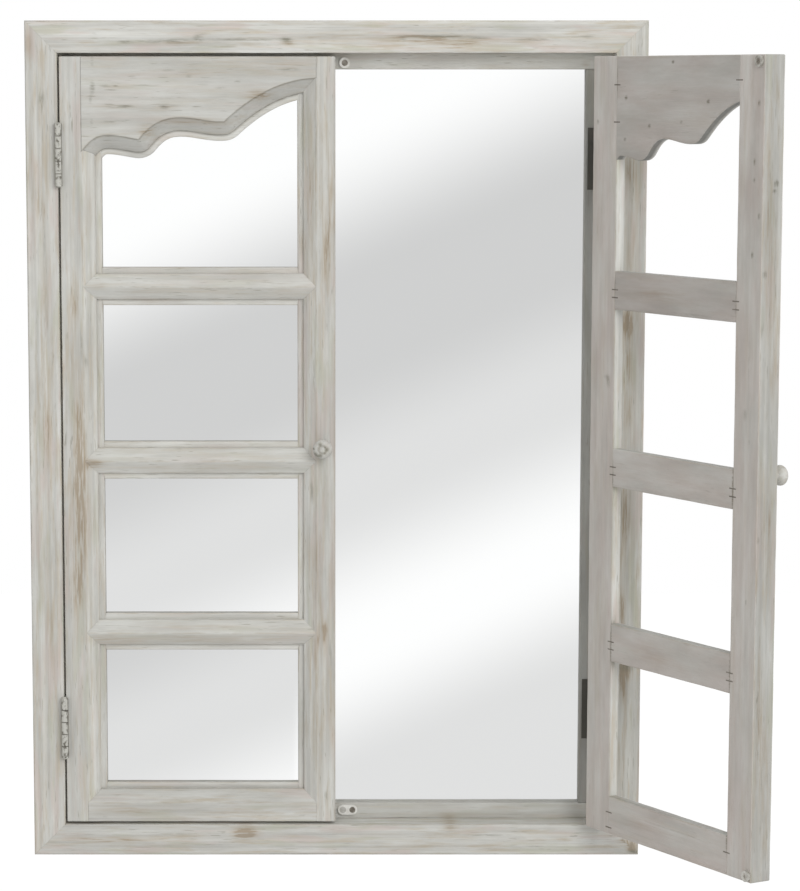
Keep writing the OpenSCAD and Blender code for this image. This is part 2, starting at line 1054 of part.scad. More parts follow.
module right_hinge_stile() { color(wash) open_right() hinge_stile(right_hinges); }
module right_free_stile() { color(wash) open_right() free_stile(); }
module right_top_rail() { color(wash) open_right() top_rail(); }
module right_upper_bar() { color(wash) open_right() bar(2); }
module right_middle_bar() { color(wash) open_right() bar(1); }
module right_lower_bar() { color(wash) open_right() bar(0); }
module right_bottom_rail() { color(wash) open_right() bottom_rail(); }
module right_staples() { color(zinc) open_right() joint_staples(); }
module right_knob() { color(wash) open_right() knob_place() knob(); }
module right_strikes() { color(catch_white) open_right() strike_places() catch_disc(); }
module right_door_leaves() { color(zinc) open_right() door_leaves(right_hinges); }

module right_strike_screws() {
    color(zinc)
        open_right()
            strike_places()
                driven_screw(catch_screw_l);
}

module right_leaf_screws() {
    color(zinc)
        open_right()
            door_leaf_screw_places(right_hinges)
                driven_screw(screw_l);
}

// ---------- Assembly ----------

frame_top();
frame_bottom();
frame_left();
frame_right();
frame_staples();
stop_top();
stop_bottom();
stop_left();
stop_right();
mirror_glass();
backing_board();
board_tabs();
hanger_left();
hanger_right();
hanger_screws();
top_catches();
bottom_catches();
catch_magnets();
catch_screws();
left_frame_leaves();
right_frame_leaves();
frame_leaf_screws();
left_hinge_pins();
right_hinge_pins();
left_hinge_stile();
left_free_stile();
left_top_rail();
left_upper_bar();
left_middle_bar();
left_lower_bar();
left_bottom_rail();
left_staples();
left_knob();
left_strikes();
left_strike_screws();
left_door_leaves();
left_leaf_screws();
right_hinge_stile();
right_free_stile();
right_top_rail();
right_upper_bar();
right_middle_bar();
right_lower_bar();
right_bottom_rail();
right_staples();
right_knob();
right_strikes();
right_strike_screws();
right_door_leaves();
right_leaf_screws();
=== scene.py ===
"""Shutter mirror: a wall mirror in a whitewashed frame, with two open-panel doors in front."""
import json
import math

import bmesh
import bpy
import numpy as np
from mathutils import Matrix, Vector


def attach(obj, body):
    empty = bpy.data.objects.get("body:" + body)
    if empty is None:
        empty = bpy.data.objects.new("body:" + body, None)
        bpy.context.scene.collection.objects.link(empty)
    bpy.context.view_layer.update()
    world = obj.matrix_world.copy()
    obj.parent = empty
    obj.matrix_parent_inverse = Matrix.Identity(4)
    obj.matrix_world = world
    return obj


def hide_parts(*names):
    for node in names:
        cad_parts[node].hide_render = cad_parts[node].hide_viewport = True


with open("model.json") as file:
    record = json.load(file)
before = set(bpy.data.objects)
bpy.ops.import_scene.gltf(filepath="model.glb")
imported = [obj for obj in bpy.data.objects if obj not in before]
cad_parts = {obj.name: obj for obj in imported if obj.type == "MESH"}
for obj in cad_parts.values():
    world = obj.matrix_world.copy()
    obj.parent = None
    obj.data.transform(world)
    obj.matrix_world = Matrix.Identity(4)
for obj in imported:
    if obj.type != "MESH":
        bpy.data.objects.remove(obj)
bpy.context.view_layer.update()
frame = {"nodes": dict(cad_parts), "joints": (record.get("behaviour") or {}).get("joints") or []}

# ---------------------------------------------------------------------------------------
# Studio. The mirror hangs in front of a plain white surround, above a pale floor. One
# large soft lamp stands to the right of the camera, and the surround fills the shadows.
# ---------------------------------------------------------------------------------------
image_w, image_h = 800, 891
focal_px, axis_px = 3190.5, (332.94, 519.63)
camera_at, camera_pitch = (-0.0034, -3.1429, -0.0422), 90 - 7.818
camera_data = bpy.data.cameras.new("camera")
camera_data.sensor_width = 36.0
camera_data.lens = focal_px * camera_data.sensor_width / image_h
camera_data.shift_x = (image_w / 2 - axis_px[0]) / image_h
camera_data.shift_y = (axis_px[1] - image_h / 2) / image_h
camera_data.clip_end = 50
camera = bpy.data.objects.new("camera", camera_data)
camera.location = camera_at
camera.rotation_euler = (math.radians(camera_pitch), 0, 0)
bpy.context.scene.collection.objects.link(camera)
bpy.context.scene.camera = camera
bpy.context.scene.view_settings.view_transform = "Standard"

# The lamp's bearing is to the right of the mirror's normal, and its height above level.
lamp_bearing, lamp_height = math.radians(25), math.radians(24)
lamp_aim, lamp_distance, lamp_size, lamp_power = (0, 0, -0.4), 3.4, 1.7, 46
lamp_data = bpy.data.lights.new("key_lamp", "AREA")
lamp_data.size = lamp_size
lamp_data.energy = lamp_power
lamp = bpy.data.objects.new("key_lamp", lamp_data)
away = Vector((
    math.sin(lamp_bearing) * math.cos(lamp_height),
    -math.cos(lamp_bearing) * math.cos(lamp_height),
    math.sin(lamp_height),
))
lamp.location = Vector(lamp_aim) + away * lamp_distance
lamp.rotation_euler = away.to_track_quat("Z", "Y").to_euler()
lamp.visible_glossy = False
bpy.context.scene.collection.objects.link(lamp)


def add_node(tree, kind, given=(), **settings):
    """A shader node. given is a dict of what goes into its sockets, by name or number:
    another node's socket is linked, and anything else is the socket's own value."""
    node = tree.nodes.new("ShaderNode" + kind)
    for label, value in settings.items():
        setattr(node, label, value)
    for key, value in dict(given).items():
        if isinstance(value, bpy.types.NodeSocket):
            tree.links.new(value, node.inputs[key])
        else:
            node.inputs[key].default_value = value
    return node


def math_node(tree, operation, *values):
    """One Math node of sockets and numbers."""
    return add_node(tree, "Math", enumerate(values), operation=operation).outputs[0]


def emptied(owner):
    """The node tree of a world or a material, with nothing in it yet."""
    owner.use_nodes = True
    owner.node_tree.nodes.clear()
    return owner.node_tree


def by_ray(tree, seen, unseen):
    """Mix of two shaders: seen for rays from the camera, from glossy surfaces and
    through glass, unseen for the rest."""
    rays = add_node(tree, "LightPath").outputs
    either = math_node(tree, "MAXIMUM", rays["Is Camera Ray"], rays["Is Glossy Ray"])
    fac = math_node(tree, "MAXIMUM", either, rays["Is Transmission Ray"])
    return add_node(tree, "MixShader", {0: fac, 1: unseen, 2: seen}).outputs[0]


world = bpy.data.worlds.new("white_surround")
bpy.context.scene.world = world
tree = emptied(world)
white, surround_fill = (1, 1, 1, 1), 0.68
fill = add_node(tree, "Background", {"Color": white, "Strength": surround_fill}).outputs[0]
seen = add_node(tree, "Background", {"Color": white, "Strength": 1.0}).outputs[0]
add_node(tree, "OutputWorld", {"Surface": by_ray(tree, seen, fill)})


def stage_sheet(name, corners):
    """A flat sheet of four corners in the scene, and its material's tree."""
    mesh = bpy.data.meshes.new(name)
    mesh.from_pydata(corners, [], [(0, 1, 2, 3)])
    sheet = bpy.data.objects.new(name, mesh)
    bpy.context.scene.collection.objects.link(sheet)
    mesh.materials.append(bpy.data.materials.new(name))
    return sheet, emptied(mesh.materials[0])


# The camera and the mirror see the floor as white but for the mirror's soft shadow on it.
floor_z, floor_half = -2.0, 9
_, tree = stage_sheet("studio_floor", [
    (x * floor_half, y * floor_half, floor_z) for x, y in ((-1, -1), (1, -1), (1, 1), (-1, 1))
])
matt = add_node(tree, "BsdfDiffuse", {"Color": (0.86, 0.86, 0.86, 1)}).outputs[0]
thin = add_node(tree, "BsdfDiffuse", {"Color": (0.3, 0.3, 0.3, 1)}).outputs[0]
glow = add_node(tree, "Emission", {"Strength": 0.82}).outputs[0]
both = add_node(tree, "AddShader", {0: thin, 1: glow}).outputs[0]
add_node(tree, "OutputMaterial", {"Surface": by_ray(tree, both, matt)})

# ---------------------------------------------------------------------------------------
# Shaded card. A glowing sheet stands before the mirror, out of the lamp's way, seen only by
# the mirror: its soft slanting bands are painted light and shade, a painted reflection that
# the glass shows.
# ---------------------------------------------------------------------------------------
card_y, card_x, card_low, card_high = -1.0, 1.6, -1.4, 0.9
card, tree = stage_sheet("shaded_card", [
    (-card_x, card_y, card_low), (card_x, card_y, card_low),
    (card_x, card_y, card_high), (-card_x, card_y, card_high),
])
for rays in ("camera", "diffuse", "shadow", "transmission"):
    setattr(card, "visible_" + rays, False)


def ramp_node(tree, fac, stops, between="LINEAR"):
    """A colour ramp through stops of (place, colour), colours as grey levels or rgb."""
    node = add_node(tree, "ValToRGB", {0: fac})
    node.color_ramp.interpolation = between
    elements = node.color_ramp.elements
    while len(elements) < len(stops):
        elements.new(0.5)
    for element, (place, colour) in zip(elements, stops):
        element.position = place
        element.color = (*(colour if isinstance(colour, tuple) else (colour,) * 3), 1)
    return node.outputs[0]


def object_place(tree):
    """The point on the object, in metres."""
    return add_node(tree, "TexCoord").outputs["Object"]


def split_place(tree):
    """Its x, y and z."""
    return add_node(tree, "SeparateXYZ", {0: object_place(tree)}).outputs


# The bands rise to the right. Below and to the left, behind the door's lower pane, the
# sheet is folded, so that the same bands come once more.
x, _, z = split_place(tree)
fold_edge, fold_rise, band_slope, band_span, band_start = 24.0, 0.217, 0.45, 1.1, 0.1
folded = [
    math_node(tree, "MINIMUM", math_node(tree, "MAXIMUM", side, 0.0), 1.0)
    for side in (
        math_node(tree, "MULTIPLY_ADD", x, -fold_edge, -0.36),
        math_node(tree, "MULTIPLY_ADD", z, -fold_edge, -17.6),
    )
]
height = math_node(tree, "MULTIPLY_ADD", math_node(tree, "MULTIPLY", *folded), fold_rise, z)
fall = math_node(tree, "MULTIPLY", height, -1.0)
band = math_node(tree, "MULTIPLY_ADD", x, band_slope, fall)
# Three tones in five soft bands, from light through dark, mid and light to mid again.
light, mid, dark = 1.03, 0.77, 0.65
bright = ramp_node(tree, math_node(tree, "MULTIPLY_ADD", band, 1 / band_span, band_start), [
    (0.20, light), (0.38, dark), (0.48, dark), (0.61, mid), (0.64, mid), (0.80, light),
    (0.83, light), (0.97, mid),
], "EASE")
glow = add_node(tree, "Emission", {"Color": bright, "Strength": 1.0}).outputs[0]
add_node(tree, "OutputMaterial", {"Surface": glow})

# ---------------------------------------------------------------------------------------
# Frame. Four softwood boards, mitred and stapled, brushed with a thin white wash along the
# grain, then rubbed back and glazed, so brown shows in streaks, at edges and in corners.
# The back of the top board is let in for the hanger plates and the wall screws' heads.
# ---------------------------------------------------------------------------------------
frame_w, frame_h, frame_face, frame_d, frame_top_z = 600.0, 820.0, 31.0, 45.0, 16.0


def srgb(r, g, b):
    """Linear colour of an 8-bit sRGB one."""
    v = np.array([r, g, b]) / 255
    return tuple(np.where(v <= 0.04045, v / 12.92, ((v + 0.055) / 1.055) ** 2.4).tolist())


def new_group(name, inputs):
    """A shader node group that puts out a colour, a roughness and a height. inputs maps
    each kind of socket to its labels and values."""
    group = bpy.data.node_groups.new(name, "ShaderNodeTree")
    for kind, sockets in inputs.items():
        for label, value in sockets.items():
            socket = group.interface.new_socket(
                label, in_out="INPUT", socket_type="NodeSocket" + kind
            )
            if value is not None:
                socket.default_value = value
    for label, kind in (("Colour", "Color"), ("Roughness", "Float"), ("Height", "Float")):
        group.interface.new_socket(label, in_out="OUTPUT", socket_type="NodeSocket" + kind)
    given = group.nodes.new("NodeGroupInput").outputs
    return group, given, group.nodes.new("NodeGroupOutput").inputs


def put_out(tree, made, *sockets):
    """Links a group's colour, roughness and height to its outputs."""
    for socket, output in zip(sockets, made):
        tree.links.new(socket, output)


def stretched_noise(tree, vector, scale, detail, rough, offset=(0, 0, 0)):
    """Noise drawn out along the grain: scale is how many features lie in one unit along,
    across and through the board."""
    place = add_node(tree, "Mapping", {"Vector": vector, "Scale": scale, "Location": offset})
    return add_node(tree, "TexNoise", {
        "Vector": place.outputs[0], "Scale": 1.0, "Detail": detail, "Roughness": rough,
    }).outputs["Fac"]


def blend_colour(tree, fac, a, b):
    """Mix of two colours. a and b are sockets or rgb."""
    a, b = (v if isinstance(v, bpy.types.NodeSocket) else (*v, 1) for v in (a, b))
    node = add_node(tree, "Mix", {"Factor": fac, "A": a, "B": b}, data_type="RGBA")
    return node.outputs["Result"]


def band_of(tree, value, low, high):
    """0 below low, 1 above high, a straight ramp between."""
    given = {"Value": value, "From Min": low, "From Max": high}
    return add_node(tree, "MapRange", given).outputs["Result"]


def times(tree, *parts):
    """Product of sockets and numbers."""
    value = parts[0]
    for part in parts[1:]:
        value = math_node(tree, "MULTIPLY", value, part)
    return value


wash_group, given, made = new_group(
    "whitewash",
    {
        "Vector": {"Grain": None},
        "Float": {
            "Ridge": 9.0, "Hollow": 9.0, "Joint": 9.0, "Worn": 0.0, "Dash": 0.0, "Show": 1.0,
            "Tone": 1.0, "Streaks": 0.5, "Glaze": 0.5, "Rubbed": 0.5,
        },
    },
)
tree, grain, show = wash_group, given["Grain"], given["Show"]


def in_wash(along, across, detail, rough, offset=(0, 0, 0)):
    """Noise with so many features in a millimetre along and across the grain."""
    return stretched_noise(wash_group, grain, (along, across, across), detail, rough, offset)


def patches(low, high, *noise):
    """Where such a noise rises from low to high."""
    return band_of(wash_group, in_wash(*noise), low, high)


def line(value, slope, start):
    """start + slope * value."""
    return math_node(wash_group, "MULTIPLY_ADD", value, slope, start)


broad = in_wash(0.007, 0.028, 2, 0.5, (31, 7, 3))
bristle = in_wash(0.032, 0.5, 4, 0.62, (19, 23, 2))
thread = in_wash(0.05, 1.3, 3, 0.6, (2, 3, 29))
broken = band_of(tree, bristle, 0.38, 0.60)
patchy = patches(0.44, 0.60, 0.04, 0.2, 3, 0.6, (1, 2, 3))
scratch = patches(0.65, 0.71, 0.05, 0.75, 2, 0.5, (7, 5, 3))
tinted = times(tree, given["Streaks"], show)
thin_wash = patches(0.50, 0.64, 0.015, 0.16, 5, 0.62, (5, 11, 17))
pink = patches(0.54, 0.66, 0.012, 0.085, 3, 0.55, (3, 41, 9))
olive = patches(0.55, 0.67, 0.013, 0.09, 3, 0.55, (13, 1, 57))
worn = times(tree, given["Worn"], line(broken, 0.9, 0.45))
worn_wood = ramp_node(
    tree, worn,
    [(0.2, srgb(182, 174, 160)), (0.7, srgb(172, 160, 142)), (1.0, srgb(152, 136, 114))],
)
pores = line(band_of(tree, broad, 0.45, 0.6), 0.5, 0.2)
ragged = patches(0.36, 0.54, 0.11, 0.8, 3, 0.6, (37, 3, 11))
dashed = band_of(tree, times(tree, given["Dash"], line(ragged, 0.7, 0.3)), 0.1, 0.9)
knot_place = add_node(tree, "Mapping", {"Vector": grain, "Scale": (0.0045, 0.014, 0.014)})
cells = add_node(tree, "TexVoronoi", {"Vector": knot_place.outputs[0], "Scale": 1.0})
knot = ramp_node(tree, cells.outputs["Distance"], [(0.03, 1.0), (0.05, 0.5), (0.10, 0.0)])
near_ridge, near_hollow, near_joint = (
    band_of(tree, given[label], far, near)
    for label, far, near in (("Ridge", 1.5, 0.2), ("Hollow", 2.2, 0.2), ("Joint", 1.0, 0.1))
)
colour = ramp_node(
    tree, in_wash(0.012, 0.06, 4, 0.62),
    [(0.32, srgb(186, 185, 179)), (0.50, srgb(196, 195, 189)), (0.68, srgb(204, 204, 199))],
)
for tint, *mask in (
    # Tan where the wash is thin, and pink and olive where it was tinted.
    (srgb(184, 176, 161), thin_wash, line(broken, 0.65, 0.35), tinted),
    (srgb(193, 182, 175), pink, tinted, 0.6),
    (srgb(182, 182, 166), olive, tinted, 0.6),
    # Marks worn through to the wood, and marks of painted shade in the same brown, and short
    # dark pores and scratches along the grain.
    (worn_wood, band_of(tree, worn, 0.08, 0.95), 0.8),
    (srgb(140, 136, 121), scratch, show, pores),
    # Dark dashes, where the brush left the dark glaze lying in the grain, a few of them painted
    # shade, and knots.
    (srgb(128, 126, 112), dashed, 0.85),
    (srgb(156, 138, 112), knot, 0.45),
    # Rubbed ridges show the wood, and hollows and joints hold the glaze.
    (srgb(168, 156, 134), near_ridge, patchy, given["Rubbed"], 0.6),
    (srgb(126, 121, 106), near_hollow, line(broken, 0.5, 0.5), given["Glaze"], 0.5),
    (srgb(132, 127, 112), near_joint, patchy, 0.2),
):
    colour = blend_colour(tree, times(tree, *mask), colour, tint)
# Bristle marks, slow changes of tone along and across the board, and clouds on the back,
# which got one thin coat and is a little warmer.
fine = math_node(
    tree, "ADD", times(tree, band_of(tree, thread, 0.3, 0.7), 0.05),
    times(tree, band_of(tree, bristle, 0.3, 0.7), 0.07),
)
fine = times(tree, math_node(tree, "SUBTRACT", fine, 0.06), show)
fine = math_node(tree, "ADD", fine, 1.0)
slow = line(band_of(tree, broad, 0.3, 0.7), 0.09, 0.955)
lanes = patches(0.35, 0.65, 0.004, 0.24, 3, 0.6, (43, 29, 8))
uneven = times(tree, math_node(tree, "SUBTRACT", lanes, 0.5), tinted)
behind = math_node(tree, "SUBTRACT", 1.0, show)
thin_coat = patches(0.38, 0.62, 0.012, 0.035, 4, 0.6, (9, 2, 71))
clouded = times(tree, behind, math_node(tree, "SUBTRACT", thin_coat, 0.5))
# Tone scales the colour face by face: a board's own tone, and painted light and shade where the
# boards are given it.
soft = times(
    tree, fine, slow, line(uneven, 0.18, 1.0), line(clouded, -0.16, 1.0), given["Tone"]
)
shade = add_node(tree, "VectorMath", {0: colour, "Scale": soft}, operation="SCALE")
warm = times(tree, behind, line(thin_coat, 0.9, 0.5))
warm_tint = (0.11, 0.02, 0.005)
warmth = add_node(tree, "VectorMath", {0: warm_tint, "Scale": warm}, operation="SCALE")
parts = enumerate(node.outputs[0] for node in (shade, warmth, shade))
warmed = add_node(tree, "VectorMath", parts, operation="MULTIPLY_ADD")
relief = line(thread, 0.5, times(tree, bristle, 0.6))
relief = math_node(tree, "SUBTRACT", relief, times(tree, scratch, 0.3))
put_out(tree, made, warmed.outputs[0], line(bristle, 0.25, 0.5), relief)


def new_material(name, values):
    """A material with values on its shader's own sockets, and its tree and shader."""
    material = bpy.data.materials.new(name)
    material.use_nodes = True
    shader = material.node_tree.nodes["Principled BSDF"]
    for label, value in values.items():
        shader.inputs[label].default_value = value
    return material, material.node_tree, shader


def add_bump(tree, shader, height, strength, distance):
    """Relief on a shader, from a height that changes over the surface."""
    given = {"Height": height, "Strength": strength, "Distance": distance}
    tree.links.new(add_node(tree, "Bump", given).outputs[0], shader.inputs["Normal"])


def coat(tree, shader, group, given, strength, distance):
    """Puts a group's colour, roughness and relief on a shader."""
    surface = add_node(tree, "Group", given, node_tree=group).outputs
    tree.links.new(surface["Colour"], shader.inputs["Base Color"])
    tree.links.new(surface["Roughness"], shader.inputs["Roughness"])
    add_bump(tree, shader, surface["Height"], strength, distance)


def washed_wood(name, streaks, glaze, rubbed):
    """Whitewash on one kind of board, reading its grain and edge distances in mm."""
    material, tree, shader = new_material(name, {"Specular IOR Level": 0.35})
    given = {"Streaks": streaks, "Glaze": glaze, "Rubbed": rubbed}
    for label in ("grain", "ridge", "hollow", "joint", "worn", "dash", "show", "tone"):
        read = add_node(tree, "Attribute", attribute_name=label)
        given[label.capitalize()] = read.outputs["Vector" if label == "grain" else "Fac"]
    coat(tree, shader, wash_group, given, 0.55, 0.0006)
    return material


# Worn marks on the front of the frame and the closed door, a few of them painted shade: one
# on the left door's free stile bevel at the top pane, and a long one down the frame's right
# board in the open door's shadow. Middle x and z, half width and half height in mm, strength.
front_wear_and_shade_marks = np.array([
    (-284, -69, 4.8, 26.7, 0.5), (-290, -151, 4.8, 33.4, 0.6), (-283, -165, 2.9, 11.5, 0.5),
    (-282, -252, 4.8, 57.3, 0.5), (-284, -379, 4.8, 33.4, 0.9), (-286, -508, 5.7, 47.7, 0.45),
    (-282, -587, 5.7, 38.2, 0.45), (-289, -647, 3.8, 38.2, 0.3), (-286, -728, 5.7, 28.6, 0.35),
    (-254, -252, 3.8, 19.1, 0.85), (-257, -296, 4.8, 28.6, 0.45), (-251, -379, 5.7, 47.7, 0.9),
    (-251, -468, 7.6, 52.5, 1), (-254, -537, 6.7, 23.9, 0.7), (-257, -637, 4.8, 38.2, 0.3),
    (-262, -718, 4.8, 28.6, 0.3), (-240, -160, 3.8, 30.5, 0.5), (-239, -468, 3.8, 14.3, 0.4),
    (-236, -637, 2.9, 28.6, 0.45), (-238, -301, 2.9, 38.2, 0.3), (-184, -90, 7.6, 5.7, 0.9),
    (-76, -55, 12.4, 4.8, 0.95), (-139, -80, 33.4, 2.4, 0.8), (-112, -24, 42.9, 5.7, 0.4),
    (-54, -27, 19.1, 7.6, 0.5), (-141, -36, 13.4, 5.7, 0.5), (-208, -47, 21, 1.9, 0.5),
    (-213, -66, 21, 1.9, 0.6), (-223, -81, 13.4, 1.9, 0.5), (-165, -66, 11.5, 2.9, 0.5),
    # The last mark on the next line is painted shade on the free stile's bevel.
    (-218, -26, 19.1, 4.8, 0.3), (-95, -33, 21, 3.8, 0.4), (-25, -136, 3.8, 76.3, 0.7),
    (-6, -156, 3.8, 47.7, 0.55), (-9, -204, 2.9, 28.6, 0.7), (-12, -252, 2.9, 57.3, 0.35),
    (-19, -597, 4.8, 28.6, 0.55), (-20, -517, 3.8, 30.5, 0.65), (-11, -579, 3.8, 9.5, 0.9),
    (-6, -527, 2.9, 23.9, 0.4), (-8, -647, 2.9, 38.2, 0.55), (-20, -678, 3.8, 42.9, 0.55),
    (-15, -79, 2.9, 47.7, 0.3), (-10, -350, 2.9, 28.6, 0.3), (-14, -468, 3.8, 28.6, 0.3),
    (-181, -244, 24.8, 2.9, 0.4), (-113, -244, 32.4, 2.9, 0.35), (-50, -244, 13.4, 2.9, 0.35),
    (-232, -238, 7.6, 3.8, 0.7), (-152, -223, 47.7, 2.4, 0.3), (-236, -413, 8.6, 3.8, 1),
    (-94, -416, 42.9, 3.8, 0.45), (-182, -417, 28.6, 2.9, 0.3), (-124, -404, 28.6, 2.4, 0.4),
    (-223, -587, 24.8, 4.8, 0.6), (-144, -587, 32.4, 3.8, 0.5), (-70, -587, 38.2, 3.8, 0.45),
    (-115, -575, 57.3, 1.9, 0.4), (-205, -759, 34.4, 5.7, 0.6), (-106, -761, 40.1, 5.7, 0.5),
    (-36, -754, 19.1, 2.9, 0.5), (-105, -738, 47.7, 3.8, 0.25), (-90, -782, 10.5, 6.7, 1.5),
    (-215, -789, 30.5, 3.8, 0.8), (-255, -787, 14.3, 4.8, 0.4), (-145, -787, 22.9, 5.7, 0.4),
    (113, -775, 7.6, 5.7, 0.8), (131, -785, 9.5, 4.8, 0.4), (43, -785, 32.4, 4.8, 0.35),
    (192, -790, 19.1, 3.8, 0.4), (294, -797, 5, 5, 1.6), (286, -790, 7, 2, 1),
    (-35, -3, 15.3, 3.8, 0.4), (-1, -1, 21, 5.7, 0.4), (-150, -5, 26.7, 2.4, 0.7),
    (-47, -5, 5.7, 2.9, 0.8), (-83, -2, 22.9, 1.7, 0.6), (90, -1, 32.4, 3.3, 0.9),
    (138, -4, 19.1, 2.9, 0.4), (114, -8, 17.2, 2.9, 0.5), (181, -3, 11.5, 2.9, 0.6),
    (253, 0, 42, 2.4, 0.4), (51, -8, 24.8, 3.8, 0.35), (-198, -6, 19.1, 1.9, 0.5),
    (288, -204, 4.8, 57.3, 0.5), (286, -330, 5.7, 57.3, 0.6), (284, -468, 5.7, 38.2, 0.7),
    (284, -618, 6.5, 9, 1.5), (285, -127, 5.7, 13.4, 0.8), (283, -274, 5.7, 9.5, 0.8),
    (283, -632, 2.6, 14, 1.3), (281, -557, 2.6, 18, 1), (242, -25, 4, 3, 0.6),
    # The first mark on the next line is painted shade: the open door's shadow on the frame.
    (281, -380, 3, 240, 0.3), (-2, -300, 1.5, 200, 0.45), (-2, -640, 1.5, 120, 0.45),
    (60, -1, 60, 4, 0.35), (150, -9, 60, 3, 0.35), (225, -1, 40, 4, 0.3),
])
# Dark dashes there, in the same form. The one under the open door's bar on the frame's right
# board is a painted shadow, and the long one along the frame's bottom edge is partly bared
# wood and partly painted shade.
front_dashes_and_shade = np.array([
    (-203, -4.5, 6, 1.3, 0.8), (-175, -4, 15, 1.4, 0.7), (-153, -3.5, 12, 2, 0.6),
    (-133, -1, 3.5, 3.5, 0.7), (-128, 3, 7, 1, 0.5), (-88, -2, 30, 1.2, 0.8),
    (-108, -9, 14, 0.9, 0.5), (-48, -2.5, 4, 2.4, 0.9), (-223, -46.5, 6, 1, 0.6),
    (-184, -46, 12, 1, 0.5), (-131, -45, 8, 0.9, 0.4), (-161, -31.5, 6, 1, 0.5),
    (-209, -66, 13, 1.2, 0.6), (-202, -65.5, 4, 1.4, 0.5), (-166, -66, 4, 2, 0.9),
    (-156, -65, 6, 1, 0.4), (-219, -80.5, 7, 1.1, 0.6), (-204, -79.5, 7, 1.1, 0.5),
    (-160, -58, 12, 0.9, 0.3), (-112, -48, 5, 1, 0.5), (-95, -42.5, 3, 1.3, 0.6),
    (-47, -30.5, 9, 1.5, 0.6), (-74, -34, 9, 0.8, 0.3), (-142, -37, 3, 1.4, 0.5),
    (-235, -22, 1.6, 6, 0.4), (-235, -48, 2.2, 5, 0.8), (-237, -59, 1.4, 3, 0.5),
    (-236, -81, 1.4, 3, 0.5), (-284, -60, 2.6, 8, 0.8), (-283, -195, 1.2, 20, 0.4),
    (-283, -262, 1.2, 36, 0.4), (-248, -296, 1.1, 12, 0.6), (-244, -312, 1.6, 5, 0.6),
    (-20, -98, 1.2, 20, 0.5), (-22, -330, 1.2, 22, 0.5), (-24, -440, 1.3, 10, 0.8),
    (78, 1, 24, 1, 0.7), (108, 0.5, 18, 1.4, 0.7), (138, -1, 9, 1.1, 0.7), (190, -2, 18, 1.2, 0.7),
    (241, 0.5, 6, 1.4, 0.6), (64, -2.5, 3, 2, 0.5), (286, -150, 1.3, 16, 0.5),
    # The second dash on the next line is a painted shadow under the open door's bar.
    (288, -420, 1.2, 26, 0.5), (284, -614, 8, 4, 0.9), (-6, -600, 1.3, 12, 0.6),
    (-10, -745, 1.4, 8, 0.5), (-160, -783, 20, 1, 0.5), (150, -784, 18, 1, 0.6),
    # The first dash on the next line, along the frame's bottom edge, is partly painted shade.
    (-34, -804, 36, 1.2, 1.3), (296, -801, 5, 2, 1.2), (242, -25, 3, 2.4, 0.6),
])


def worn_at(u, v, marks):
    """Strength of the marks at points u, v: each fades as a bell from its middle."""
    across = (u[:, None] - marks[:, 0]) / marks[:, 2]
    up = (v[:, None] - marks[:, 1]) / marks[:, 3]
    bells = marks[:, 4] * np.exp(-0.7 * (across**2 + up**2))
    return np.minimum(bells.sum(1), 1.6)


def front_worn(placed):
    """Wear, painted shade and dashes at placed points of the front. The dashes stay off what
    lies more than 15 mm behind the frame's face."""
    x, y, z = placed.T
    return worn_at(x, z, front_wear_and_shade_marks), worn_at(x, z, front_dashes_and_shade) * (y < 15 - frame_d)


# A distance in mm from an edge at which nothing of it shows.
far_off = 30.0


def rounded_outline(corners):
    """Closed outline of a board's section. corners is rows of (across, depth, radius) in
    mm. Each corner becomes an arc that touches both its sides: its centre lies on the
    bisector, r / sin(half the angle) from the corner. Returns points, outward normals,
    and each point's distance along the outline to the nearest ridge and hollow."""
    steps, spacing, beside, merged = 5, 1.6, 0.3, 0.02
    corners = np.array(corners, float)
    p, r = corners[:, :2], corners[:, 2:3]
    u = np.roll(p, 1, 0) - p
    v = np.roll(p, -1, 0) - p
    u /= np.linalg.norm(u, axis=1, keepdims=True)
    v /= np.linalg.norm(v, axis=1, keepdims=True)
    half = np.arccos(np.clip((u * v).sum(1, keepdims=True), -1, 1)) / 2
    middle = u + v
    middle /= np.linalg.norm(middle, axis=1, keepdims=True)
    centre = p + middle * r / np.sin(half)
    start = (p + u * r / np.tan(half) - centre) / r
    end = (p + v * r / np.tan(half) - centre) / r
    w = (math.pi - 2 * half)[:, :, None]
    k = np.linspace(0, 1, steps + 1)[None, :, None]
    arcs = (np.sin((1 - k) * w) * start[:, None] + np.sin(k * w) * end[:, None]) / np.sin(w)
    arcs = (centre[:, None] + arcs * r[:, :, None]).reshape(-1, 2)
    loop = np.vstack([arcs, arcs[:1]])
    run = np.append(0, np.cumsum(np.linalg.norm(np.diff(loop, axis=0), axis=1)))
    total = run[-1]
    first, last = run[:-1:steps + 1], run[steps:-1:steps + 1]
    places = np.concatenate(
        [run[:-1], (first - beside) % total, last + beside, np.arange(0, total, spacing)]
    )
    places = np.unique(np.round(places % total, 3))
    places = places[np.append(np.diff(places) > merged, total - places[-1] > merged)]
    points = np.stack([np.interp(places, run, loop[:, i]) for i in (0, 1)], 1)
    back = points - np.roll(points, 1, 0)
    on = np.roll(points, -1, 0) - points
    tangent = back / np.linalg.norm(back, axis=1, keepdims=True)
    tangent = tangent + on / np.linalg.norm(on, axis=1, keepdims=True)
    tangent /= np.linalg.norm(tangent, axis=1, keepdims=True)
    area = 0.5 * (p[:, 0] * np.roll(p[:, 1], -1) - np.roll(p[:, 0], -1) * p[:, 1]).sum()
    way = 1 if area > 0 else -1
    normals = way * np.stack([tangent[:, 1], -tangent[:, 0]], 1)
    ridge = way * (v[:, 0] * u[:, 1] - v[:, 1] * u[:, 0]) > 0
    gap = np.abs((places[:, None] - (first + last)[None] / 2 + total / 2) % total - total / 2)
    to_ridge, to_hollow = (
        gap[:, kind].min(1) if kind.any() else np.full(len(places), far_off)
        for kind in (ridge, ~ridge)
    )
    return points, normals, to_ridge, to_hollow


